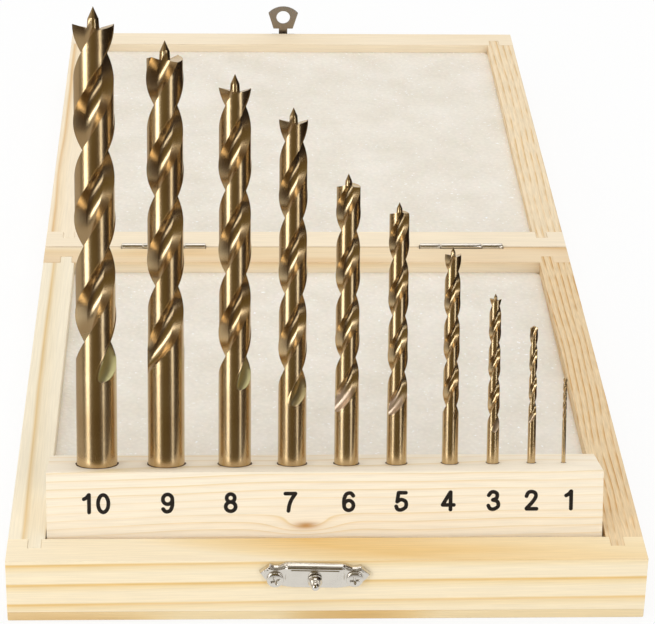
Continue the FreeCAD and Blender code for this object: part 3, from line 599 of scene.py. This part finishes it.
def into_block(thing, x, y, z):
    """Move a mesh that stands on the origin to a point of the block, and lean it with the block."""
    thing.data.transform(BLOCK @ Matrix.Translation(Vector((x, y, z)) * MM))


def stand_drill(diameter, length, flutes, pitch, depth, place, lips):
    """One drill in its hole. Its UV map is the bar unrolled, in millimetres."""
    name = "drill_%dmm" % diameter
    rings, bare = drill_surface(diameter, length, flutes, pitch, lips)
    poles = (0, 0, 0), (0, 0, length)
    thing = ringed(name + "_ground", rings, *poles, 32)
    mark = thing.data.attributes.new("bare", "FLOAT", "POINT")
    shown = bare.ravel() * BARE_ENDS.get(diameter, 0.0)
    mark.data.foreach_set("value", np.concatenate([shown, [0, 0]]).astype(np.float32))
    corner = np.zeros(len(thing.data.loops), np.int32)
    thing.data.loops.foreach_get("vertex_index", corner)
    point = np.concatenate([rings.reshape(-1, 3), poles])[corner]
    unrolled = np.stack([np.arctan2(point[:, 1], point[:, 0]) * diameter / 2, point[:, 2]], -1)
    thing.data.uv_layers.new(name="bar").data.foreach_set("uv", unrolled.ravel().astype(np.float32))
    into_block(thing, BLOCK_LEFT + place, BIT_PLANE, BLOCK_TOP - depth)
    return dress(thing, steel if diameter > 6 else fresh_steel, name, "cobalt_steel", name)


steel = drill_steel("bronze cobalt steel", "#DCD8A4")
fresh_steel = drill_steel("bronze cobalt steel with fresh ends", "#F2DECB")
for row in DRILLS:
    made = stand_drill(*row)
print("stood", len(DRILLS), "drills; the last has", len(made.data.polygons), "faces")


RIM_POINTS = 96
# Each hole gets a flat dark brown ring on the block, round the drill that stands in it.
RIM_HEIGHT = 0.02  # the browned rims lie this much above the block


def hole_rims():
    """A dark brown ring round each hole, where its drill stands in the block: flat rings whose outer edge
    wanders by a tenth.
    """
    here = np.arange(RIM_POINTS)
    after = (here + 1) % RIM_POINTS
    around = 2 * np.pi * here / RIM_POINTS
    quads = np.stack([here, RIM_POINTS + here, RIM_POINTS + after, after], -1)
    points, faces = [], []
    for number, (diameter, *_, place, _) in enumerate(DRILLS):
        ragged = 0.05 * np.sin(5 * around + number) + 0.04 * np.sin(11 * around + 2 * number)
        outer = diameter / 2 + 0.16 + 0.014 * diameter + ragged
        sizes = np.stack([diameter / 2 - 0.1 + 0 * around, outer])
        x, y = BLOCK_LEFT + place + sizes * np.cos(around), BIT_PLANE + sizes * np.sin(around)
        points.append(np.stack([x, y, np.full(sizes.shape, BLOCK_TOP + RIM_HEIGHT)], -1).reshape(-1, 3))
        faces += (2 * RIM_POINTS * number + quads).tolist()
    thing = mesh_object("hole_rims", np.concatenate(points), faces)
    thing.data.transform(BLOCK)
    material, tree, output = new_material("dark rings round the holes")
    cover(tree, output, {"Base Color": linear("#4A2E16"), "Roughness": 0.9})
    dress(thing, material, "block", "block_pine")


hole_rims()

# %% [markdown]
# ## Numbers on the block
#
# Each drill's diameter is stamped in black on the block's front face. A stamp's digit is a line of even
# width: its middle line runs smoothly through a few points of a tall box, and the ribbon along it has
# round ends. The ribbons lie two hundredths of a millimetre proud of the leaning face.

# %% Stamp the numbers

BLOCK_FACE = -13.35
# Each number's middle along the block.
NUMBERS = {
    10: -56.21, 9: -38.75, 8: -23.44, 7: -8.9, 6: 5.32, 5: 18.17, 4: 29.59, 3: 40.76, 2: 50.04, 1: 59.3,
}
DIGIT, STROKE, ADVANCE = 5.1, 0.95, 0.71  # height and stroke in millimetres; second digit in heights
DIGIT_MIDDLE, ONE_MIDDLE = 0.31, 0.24  # middle of a digit, and of a 1 by itself, in heights
STAMP_LINE, RISING = 11.06, 0.0045  # the numbers' middle line, and how far it climbs per millimetre
PROUD, LAYER = 0.02, 0.004  # the ink over the wood, and each stroke over the last
DIGITS = {
    # Strokes in digit heights. A ring has its middle (across, up) and two radii, a line runs smoothly
    # through its points, and a straight one keeps its corners.
    "0": (("ring", 0.31, 0.5, 0.245, 0.425),),
    "1": (("line", (0.10, 0.72), (0.23, 0.80), (0.33, 0.925)), ("straight", (0.345, 0.93), (0.345, 0.07))),
    "2": (
        (
            "line", (0.08, 0.70), (0.16, 0.87), (0.32, 0.925), (0.50, 0.85), (0.52, 0.66),
            (0.36, 0.40), (0.09, 0.10),
        ),
        ("straight", (0.09, 0.075), (0.57, 0.075)),
    ),
    "3": (
        ("line", (0.08, 0.76), (0.19, 0.90), (0.33, 0.925), (0.48, 0.83), (0.46, 0.62), (0.28, 0.53)),
        ("line", (0.28, 0.53), (0.50, 0.45), (0.54, 0.22), (0.33, 0.075), (0.15, 0.11), (0.07, 0.25)),
    ),
    "4": (
        ("straight", (0.44, 0.07), (0.44, 0.93)),
        ("straight", (0.42, 0.92), (0.065, 0.31)),
        ("straight", (0.065, 0.30), (0.60, 0.30)),
    ),
    "5": (
        ("straight", (0.53, 0.92), (0.19, 0.92)),
        ("straight", (0.18, 0.92), (0.115, 0.48)),
        (
            "line", (0.115, 0.48), (0.30, 0.58), (0.52, 0.48), (0.53, 0.22), (0.31, 0.075),
            (0.14, 0.11), (0.07, 0.25),
        ),
    ),
    "6": (
        ("ring", 0.315, 0.315, 0.225, 0.24),
        (
            "line", (0.53, 0.79), (0.44, 0.90), (0.33, 0.925), (0.19, 0.86), (0.10, 0.66),
            (0.085, 0.44), (0.095, 0.30),
        ),
    ),
    "7": (
        ("straight", (0.07, 0.92), (0.55, 0.92)),
        ("line", (0.55, 0.92), (0.36, 0.62), (0.26, 0.34), (0.22, 0.07)),
    ),
    "8": (("ring", 0.31, 0.725, 0.19, 0.195), ("ring", 0.31, 0.30, 0.235, 0.225)),
    "9": (
        ("ring", 0.305, 0.685, 0.225, 0.24),
        (
            "line", (0.09, 0.21), (0.18, 0.10), (0.29, 0.075), (0.43, 0.14), (0.52, 0.34),
            (0.535, 0.56), (0.525, 0.70),
        ),
    ),
}


def ink_finish():
    """Black stamp ink soaked into pine: matt, and a little thin where the fibres are raised."""
    material, tree, output = new_material("black stamp ink")
    place = add(tree, "ShaderNodeTexCoord").outputs["Object"]
    fibre = noise(tree, scaled(tree, place, (300.0, 2500.0, 2500.0)), 1.0, 2.0)["Fac"]
    tone = ramp(tree, fibre, ((0.45, "#130B05"), (0.75, "#2A1D12")))
    cover(tree, output, {"Base Color": tone, "Roughness": 0.7})
    return material


def middle_line(kind, *points):
    """Points along a stroke's middle. A line is the cubic through its points, from each to the next:
    p(t) = p1 + (p2 - p0) t / 2 + (2 p0 - 5 p1 + 4 p2 - p3) t^2 / 2 + (3 p1 - p0 - 3 p2 + p3) t^3 / 2."""
    if kind == "ring":
        across, up, wide, high = points
        turn = np.linspace(0, 2 * np.pi, 49)
        return np.stack([across + wide * np.cos(turn), up + high * np.sin(turn)], -1)
    path = np.array(points)
    if kind == "straight":
        return path
    share = np.linspace(0, 1, 13)[:-1, None]
    held = np.concatenate([[2 * path[0] - path[1]], path, [2 * path[-1] - path[-2]]])
    p0, p1, p2, p3 = (held[k : len(held) - 3 + k, None] for k in range(4))
    curve = p1 + (p2 - p0) * share / 2
    curve = curve + (2 * p0 - 5 * p1 + 4 * p2 - p3) * share**2 / 2
    curve = curve + (3 * p1 - p0 - 3 * p2 + p3) * share**3 / 2
    return np.concatenate([curve.reshape(-1, 2), path[-1:]])


def ribbon(path, width, closed):
    """Outline of a ribbon along a path: half its width to either side, and half circles at open ends."""
    step = np.gradient(path, axis=0)
    if closed:
        step[0] = step[-1] = path[1] - path[-2]
    step = step / np.linalg.norm(step, axis=1, keepdims=True)
    side = np.stack([-step[:, 1], step[:, 0]], -1) * width / 2
    rows = np.stack([path + side, path - side], 1)
    if closed:
        return rows
    round_end = np.linspace(np.pi / 2, 0, 7)[:-1, None]
    caps = []
    for end, way, across in ((path[0], -step[0], side[0]), (path[-1], step[-1], side[-1])):
        reach = end + way * width / 2 * np.cos(round_end)
        caps.append(np.stack([reach + across * np.sin(round_end), reach - across * np.sin(round_end)], 1))
    return np.concatenate([caps[0][::-1], rows, caps[1]])


def stamp(number, middle):
    """One number on the block's face: every stroke of its digits is a ladder of quads."""
    points, faces = [], []
    letters = str(number)
    start = middle - DIGIT * (DIGIT_MIDDLE + ADVANCE / 2 * (len(letters) - 1))
    if letters == "1":
        start = middle - DIGIT * ONE_MIDDLE
    for place, letter in enumerate(letters):
        for layer, (kind, *shape) in enumerate(DIGITS[letter]):
            rows = ribbon(middle_line(kind, *shape), STROKE / DIGIT, kind == "ring")
            across = start + DIGIT * (rows[..., 0] + ADVANCE * place)
            up = STAMP_LINE + DIGIT * (rows[..., 1] - 0.5) + RISING * middle
            out = np.full(across.shape, BLOCK_FACE - PROUD - LAYER * layer)
            first = sum(len(part) for part in points)
            points.append(np.stack([across, out, up], -1).reshape(-1, 3))
            rung = first + 2 * np.arange(len(rows) - 1)[:, None]
            faces += (rung + np.array([0, 1, 3, 2])).tolist()
    thing = mesh_object("number_%d" % number, np.concatenate(points), faces)
    thing.data.transform(BLOCK)
    dress(thing, ink, "block", "block_pine")


ink = ink_finish()
for number, middle in NUMBERS.items():
    stamp(number, middle)
print("stamped", len(NUMBERS), "numbers")

# %% [markdown]
# ## Nickel-plated hardware
#
# Catch, hasp and hinges are pressed from thin steel and plated with nickel, a slightly warm mirror that
# pressing leaves faintly uneven. Pan-head screws are surfaces of revolution with a cross pressed in.

# %% Nickel, and the plates


def nickel_finish(name, tone, rough):
    """Bright nickel plate over pressed steel: a metal with a soft, slightly wavy shine."""
    material, tree, output = new_material(name)
    wave = noise(tree, add(tree, "ShaderNodeTexCoord").outputs["Object"], 350.0, 1.0)["Fac"]
    skin = {
        "Base Color": linear(tone),
        "Metallic": 1.0,
        "Roughness": span(tree, wave, 0.3, 0.7, rough, rough + 0.12),
        "Normal": bumps(tree, wave, 0.05, 0.0001),
    }
    cover(tree, output, skin)
    return material


PLATE_EDGE = 0.12  # rounding of the cut edges, in millimetres
nickel = nickel_finish("nickel plate", "#E0DCD5", 0.16)
pin_steel = nickel_finish("drawn steel pin", "#B9B5AE", 0.3)
aged_nickel = nickel_finish("dull nickel plate", "#948A7F", 0.26)
leaves = [name for name in nodes if name.endswith("_leaf")]
for name in leaves:
    repaint(name, nickel)
    ease(nodes[name], PLATE_EDGE)
for name in ("hasp_plate", "hasp_loop"):
    repaint(name, aged_nickel)
    ease(nodes[name], PLATE_EDGE)
for name in nodes:
    if name.endswith("_pin") or "base_screw" in name or "lid_screw" in name:
        repaint(name, nickel)
for name in ("pivot_pin_left", "pivot_pin_right"):
    repaint(name, pin_steel)
print("plated", len(leaves), "hinge leaves and the hasp")

# %% [markdown]
# ## The catch plate
#
# The catch is pressed from thin sheet: its edge is turned back to the wood all round, a bead follows its
# top edge with a crease under it, and its middle stands higher to hold the stud. It is a sheet of points
# over the plate's outline, and their height is worked out from the distance to the edge.

# %% The pressed catch plate

CATCH_TILT = math.radians(-1.5)
CATCH_RAISE, STUD_RAISE = 1.05, 0.6  # above the CAD nodes: the real plate ends at the rim
HALF_PLATE = 13.5  # half its width
FACE, EDGE_RADIUS = 0.92, 0.3  # the sheet's front over the wood, and its turned edge
BEAD_DEPTH, BEAD_WIDTH = 0.42, 0.26  # how far below the top edge the bead runs, and its width
CREASE, CREASE_DEPTH, CREASE_WIDTH = 0.34, 1.0, 0.17  # height and place of the crease under it
MIDDLE, LEDGE = 0.34, 0.17  # how much higher the middle is, and the ledge on it
# The upper and the lower edge of its right half, (across, up).
UPPER = ((0.0, 3.3), (6.6, 3.3), (7.4, 3.15), (9.0, 2.6), (9.9, 2.6), (11.0, 2.95), (11.4, 2.5), (13.5, 0.75))
LOWER = ((0.0, -3.3), (7.6, -3.3), (9.0, -2.95), (11.4, -2.0), (12.2, -1.2), (13.5, 0.7))


def step_up(value, start, end):
    """A smooth step from 0 to 1: 3 s^2 - 2 s^3."""
    share = np.clip((value - start) / (end - start), 0, 1)
    return share * share * (3 - 2 * share)


def bell(value, middle, width):
    """A bell curve: 1 at its middle, and e^(-(d / width)^2) at a distance d from it."""
    return np.exp(-(((value - middle) / width) ** 2))


def pressed_plate():
    """Columns along the plate, each a ring up its front and back through one point on the wood.

    The edge rises as a quarter circle, sqrt(1 - (1 - d / r)^2). The bead and the crease are bell curves of
    the distance d below the top edge, and the middle is a smooth step in both directions.
    """
    close = 0.06 * np.arange(10)
    across = np.concatenate([-HALF_PLATE + close, np.linspace(-12.9, 12.9, 240), 12.96 + close])
    aside = np.abs(across)[:, None]
    high = np.interp(np.abs(across), *zip(*UPPER))[:, None]
    low = np.interp(np.abs(across), *zip(*LOWER))[:, None]
    share = (1 - np.cos(np.pi * np.linspace(0, 1, 90)))[None] / 2
    up = low + (high - low) * share
    below_top, above_low = high - up, up - low
    inward = np.minimum(np.minimum(below_top, above_low), HALF_PLATE - aside)
    edge = np.clip(inward / EDGE_RADIUS, 0, 1)
    rounded = np.sqrt(1 - (1 - edge) ** 2)
    middle = step_up(7.4 - aside, 0, 0.9)
    bead = (0.42 - 0.11 * middle) * bell(below_top, BEAD_DEPTH, BEAD_WIDTH)
    crease = CREASE * bell(below_top, CREASE_DEPTH, CREASE_WIDTH) * step_up(12.0 - aside, 0, 1.5)
    ledge = step_up(6.0 - aside, 0, 0.5) * step_up(below_top, 1.65, 1.8)
    out = rounded * (FACE + bead - crease + MIDDLE * middle + LEDGE * ledge)
    front = np.stack([np.repeat(across[:, None], 90, 1), -out, up], -1)
    back = np.stack([across, 0 * across, (low + high)[:, 0] / 2], -1)[:, None]
    rings = np.concatenate([front, back], 1)
    corner_low, corner_high = (np.array(corner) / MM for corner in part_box("catch_plate"))
    centre = (corner_low + corner_high) / 2
    turn = np.array(Matrix.Rotation(-CATCH_TILT, 3, "Y"))
    rings = rings @ turn.T + np.array([centre[0], corner_high[1], centre[2] + CATCH_RAISE])
    thing = ringed("catch_plate_pressed", rings, rings[0].mean(0), rings[-1].mean(0), 50)
    dress(thing, nickel, "base", "nickel", "catch_plate")


pressed_plate()
print("pressed the catch plate")

# %% [markdown]
# ## Screws and the catch stud
#
# A screw head is a dome over a grid of radius and angle. The cross is taken out of the dome's height: a
# bar along each of two lines, deepest at the middle, with sloping ends.

# %% Screw heads and the stud


def facing(thing, at, toward):
    """Move a mesh that stands on the origin to a point, with its own Z axis turned towards a direction."""
    turn = Vector((0, 0, 1)).rotation_difference(Vector(toward)).to_matrix().to_4x4()
    thing.data.transform(Matrix.Translation(Vector(at)) @ turn)


def cross_depth(x, y, span):
    """Depth of a pressed cross: along each bar it falls off to the end, and across it at the bar's edge."""
    width = 0.23 * span
    bars = []
    for along, across in ((x, y), (y, x)):
        side = np.clip((width - np.abs(across)) / (0.35 * width), 0, 1)
        end = np.clip((span - np.abs(along)) / (0.55 * span), 0, 1)
        bars.append(side * end)
    return np.maximum(*bars)


ROUND = 2 * np.pi * np.arange(96) / 96  # angles round a screw
PAN = 0.24  # height of a head's straight side, per radius


def pan_head(name, radius, shank, length, turn):
    """A pan-head screw: pointed shank, flat seat, short side, and a dome with a cross in it."""
    side = PAN * radius
    body = np.array([(0.02, -length), (shank, -length + shank), (shank, 0), (radius, 0), (radius, side)])
    share = np.concatenate([np.linspace(1, 0.1, 42)[1:], [0.06, 0.03]])
    dome = side + 0.12 * radius * np.sqrt(1 - share**6) + 0.08 * radius * (1 - share**2)
    profile = np.concatenate([body, np.stack([share * radius, dome], -1)])
    rings = turned(profile, ROUND + turn)
    x, y = turned(profile, ROUND)[len(body) :, :, :2].transpose(2, 0, 1)
    rings[len(body) :, :, 2] -= 0.36 * radius * cross_depth(x, y, 0.6 * radius)
    return ringed(name, rings, (0, 0, -length), (0, 0, rings[-1, :, 2].mean()), 40)


def head_on(node, radius, shank, length, toward, body, turn, raised=0.0):
    """Put a screw where its node is: the node's seat lies a screw's length from its point."""
    low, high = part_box(node)
    seat_y = high.y - length * MM if toward < 0 else low.y + length * MM
    at = ((low.x + high.x) / 2, seat_y, (low.z + high.z) / 2 + raised * MM)
    screw = pan_head(node + "_cross", radius, shank, length, turn)
    facing(screw, at, (0, toward, 0))
    dress(screw, nickel, body, "nickel", node)


head_on("catch_screw_left", 2.05, 1.0, 7.0, -1, "base", 0.35, STUD_RAISE)
head_on("catch_screw_right", 2.05, 1.0, 7.0, -1, "base", 0.12, STUD_RAISE)
head_on("hasp_screw_left", 1.5, 0.8, 6.0, 1, "lid", 0.6)
head_on("hasp_screw_right", 1.5, 0.8, 6.0, 1, "lid", 0.2)


def stud():
    """The catch stud, turned: a collar, a waist drawn in by a smooth curve, and a round nose."""
    low, high = (np.array(corner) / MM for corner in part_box("catch_stud"))
    length, collar = high[1] - low[1], (high[0] - low[0]) / 2
    nose = 0.62 * collar
    waist = np.linspace(0, 1, 14)
    drawn_in = 1 - 0.12 * np.sin(np.pi * waist**0.8) ** 1.5 - 0.38 * waist
    neck = np.stack([collar * drawn_in, length * (0.2 + 0.42 * waist)], -1)
    bend = np.linspace(0, np.pi / 2, 12)[:-1]
    ball = np.stack([nose * np.cos(bend), length - nose + nose * np.sin(bend)], -1)
    profile = np.concatenate([[(collar * 0.96, 0.0), (collar, 0.1), (collar, length * 0.12)], neck, ball])
    rings = turned(profile, 2 * np.pi * np.arange(64) / 64)
    thing = ringed("catch_stud_turned", rings, (0, 0, 0), (0, 0, length), 40)
    foot = Vector(((low[0] + high[0]) / 2, high[1], (low[2] + high[2]) / 2 + STUD_RAISE)) * MM
    facing(thing, foot, (0, -1, 0))
    dress(thing, nickel, "base", "nickel", "catch_stud")


stud()
print("screws and stud in place")

# %% [markdown]
# ## Floor, light and camera
#
# The case lies on a plain white sweep. Two upright soft boxes stand left and right of the camera, so
# that every drill gets the two bright lines that round metal shows in a studio, and a broad one hangs
# overhead. Reflections show painted surroundings, darker in front than the sweep behind, which keeps
# contrast in the metal.

# %% Floor and world

WHITE = (1, 1, 1, 1)
PAPER_GLOW = 0.86  # share of plain white in the paper that the camera sees
# The paper's painted reflection ends here in front, and a painted dim brown takes over.
PAINTED_REFLECTION_EDGE = (-0.17, -0.12)  # in metres, where reflections of the paper end in front


def camera_rays(tree, path):
    """1 for the rays that come from the camera, also through glass."""
    return calc(tree, "MAXIMUM", path["Is Camera Ray"], path["Is Transmission Ray"])


def mixed(tree, factor, first, second):
    """The first shader where the factor is 0, the second where it is 1."""
    return add(tree, "ShaderNodeMixShader", {0: factor, 1: first, 2: second}).outputs[0]


def floor_finish():
    """White paper that keeps the object's shadow and otherwise shows as the white background. In the shine
    of metal it shows a painted reflection: white under the object, grey on its left, dark on its right,
    and a painted dim, warm brown in front of it."""
    material, tree, output = new_material("white paper sweep")
    paper = add(tree, "ShaderNodeBsdfDiffuse", {"Color": linear("#F4F4F2")}).outputs[0]
    glow = add(tree, "ShaderNodeEmission", {"Color": WHITE, "Strength": 1.0}).outputs[0]
    path = add(tree, "ShaderNodeLightPath").outputs
    share = calc(tree, "MULTIPLY", camera_rays(tree, path), PAPER_GLOW)
    place = add(tree, "ShaderNodeTexCoord").outputs["Object"]
    axes = add(tree, "ShaderNodeSeparateXYZ", {0: place}).outputs
    # Painted reflection: glossy rays see the paper glow grey on the left, white under the object, dark on the
    # right and dim brown in front.
    painted_dark_front = span(tree, axes["Y"], *PAINTED_REFLECTION_EDGE, 0.0, 1.0)
    sideways = span(tree, axes["X"], -0.12, 0.12, 0.0, 1.0)
    stops = ((0.0, "#BDB3A6"), (0.15, "#F4F2EE"), (0.85, "#F4F2EE"), (1.0, "#22160A"))
    sheet = blend(tree, painted_dark_front, linear("#3E2E1A"), ramp(tree, sideways, stops))
    shine = add(tree, "ShaderNodeEmission", {"Color": sheet, "Strength": 1.0}).outputs[0]
    plain = mixed(tree, path["Is Glossy Ray"], paper, shine)
    tree.links.new(mixed(tree, share, plain, glow), output.inputs["Surface"])
    return material


floor_mesh = bpy.data.meshes.new("floor")
floor_mesh.from_pydata([(-4, -4, 0), (4, -4, 0), (4, 4, 0), (-4, 4, 0)], [], [(0, 1, 2, 3)])
floor_mesh.materials.append(floor_finish())
floor = bpy.data.objects.new("floor", floor_mesh)
bpy.context.scene.collection.objects.link(floor)


def studio_world():
    """White where the camera looks, and plain white light. Reflections show painted surroundings: white
    behind the object, grey to its left, nearly black to its right and a dim brown in front."""
    world = bpy.data.worlds.new("studio")
    world.use_nodes = True
    tree = world.node_tree
    tree.nodes.clear()
    direction = add(tree, "ShaderNodeTexCoord").outputs["Generated"]
    axes = add(tree, "ShaderNodeSeparateXYZ", {0: direction}).outputs
    behind = span(tree, axes["Y"], 0.72, 0.9, 0.0, 1.0)
    stops = (
        (0.0, "#BDB3A6"),
        (0.1, "#A89C8A"),
        (0.28, "#6F5E34"),
        (0.5, "#6F5E34"),
        (0.74, "#5A4728"),
        (0.87, "#24160A"),
        (1.0, "#160C06"),
    )
    # Painted reflection: only glossy rays see these colours, and diffuse surfaces are lit by plain white.
    painted_room = blend(tree, behind, ramp(tree, span(tree, axes["X"], -1.0, 1.0, 0.0, 1.0), stops), WHITE)
    path = add(tree, "ShaderNodeLightPath").outputs
    plain = add(tree, "ShaderNodeBackground", {"Color": WHITE, "Strength": 0.66}).outputs[0]
    reflected = add(tree, "ShaderNodeBackground", {"Color": painted_room, "Strength": 1.0}).outputs[0]
    white = add(tree, "ShaderNodeBackground", {"Color": WHITE, "Strength": 1.0}).outputs[0]
    shiny = mixed(tree, path["Is Glossy Ray"], plain, reflected)
    shown = mixed(tree, camera_rays(tree, path), shiny, white)
    add(tree, "ShaderNodeOutputWorld", {"Surface": shown})
    return world


bpy.context.scene.world = studio_world()

# %% Lamps and camera


def soft_box(name, at, aim, width, height, watts):
    """An area lamp that faces a point."""
    lamp = bpy.data.lights.new(name, "AREA")
    lamp.shape = "RECTANGLE"
    lamp.size, lamp.size_y = width, height
    lamp.energy = watts
    thing = bpy.data.objects.new(name, lamp)
    thing.location = at
    thing.rotation_euler = (Vector(aim) - Vector(at)).to_track_quat("-Z", "Y").to_euler()
    bpy.context.scene.collection.objects.link(thing)


soft_box("left soft box", (-0.85, -0.78, 0.44), (0, -0.05, 0.40), 0.38, 0.86, 4.4)
soft_box("right soft box", (0.69, -0.87, 0.44), (0, -0.05, 0.40), 0.20, 0.86, 1.5)
soft_box("overhead soft box", (0.0, 0.35, 1.25), (0, 0.05, 0), 1.2, 1.2, 6.6)

# The camera of the photograph, fitted to the drills and the case: its place and its three directions.
CAMERA_AT = Vector((-26.90, -622.07, 366.50)) * MM
RIGHT = Vector((0.999124, -0.037367, 0.018861))
DOWN = Vector((-0.000672, -0.464854, -0.885387))
FORWARD = Vector((0.041852, 0.884598, -0.464472))
camera_data = bpy.data.cameras.new("camera")
camera_data.sensor_width = 36.0
camera_data.sensor_fit = "HORIZONTAL"
camera_data.lens = 145.86
camera = bpy.data.objects.new("camera", camera_data)
axes = Matrix([(RIGHT[k], -DOWN[k], -FORWARD[k]) for k in range(3)])
camera.matrix_world = Matrix.Translation(CAMERA_AT) @ axes.to_4x4()
bpy.context.scene.collection.objects.link(camera)
bpy.context.scene.camera = camera
bpy.context.scene.view_settings.view_transform = "Standard"
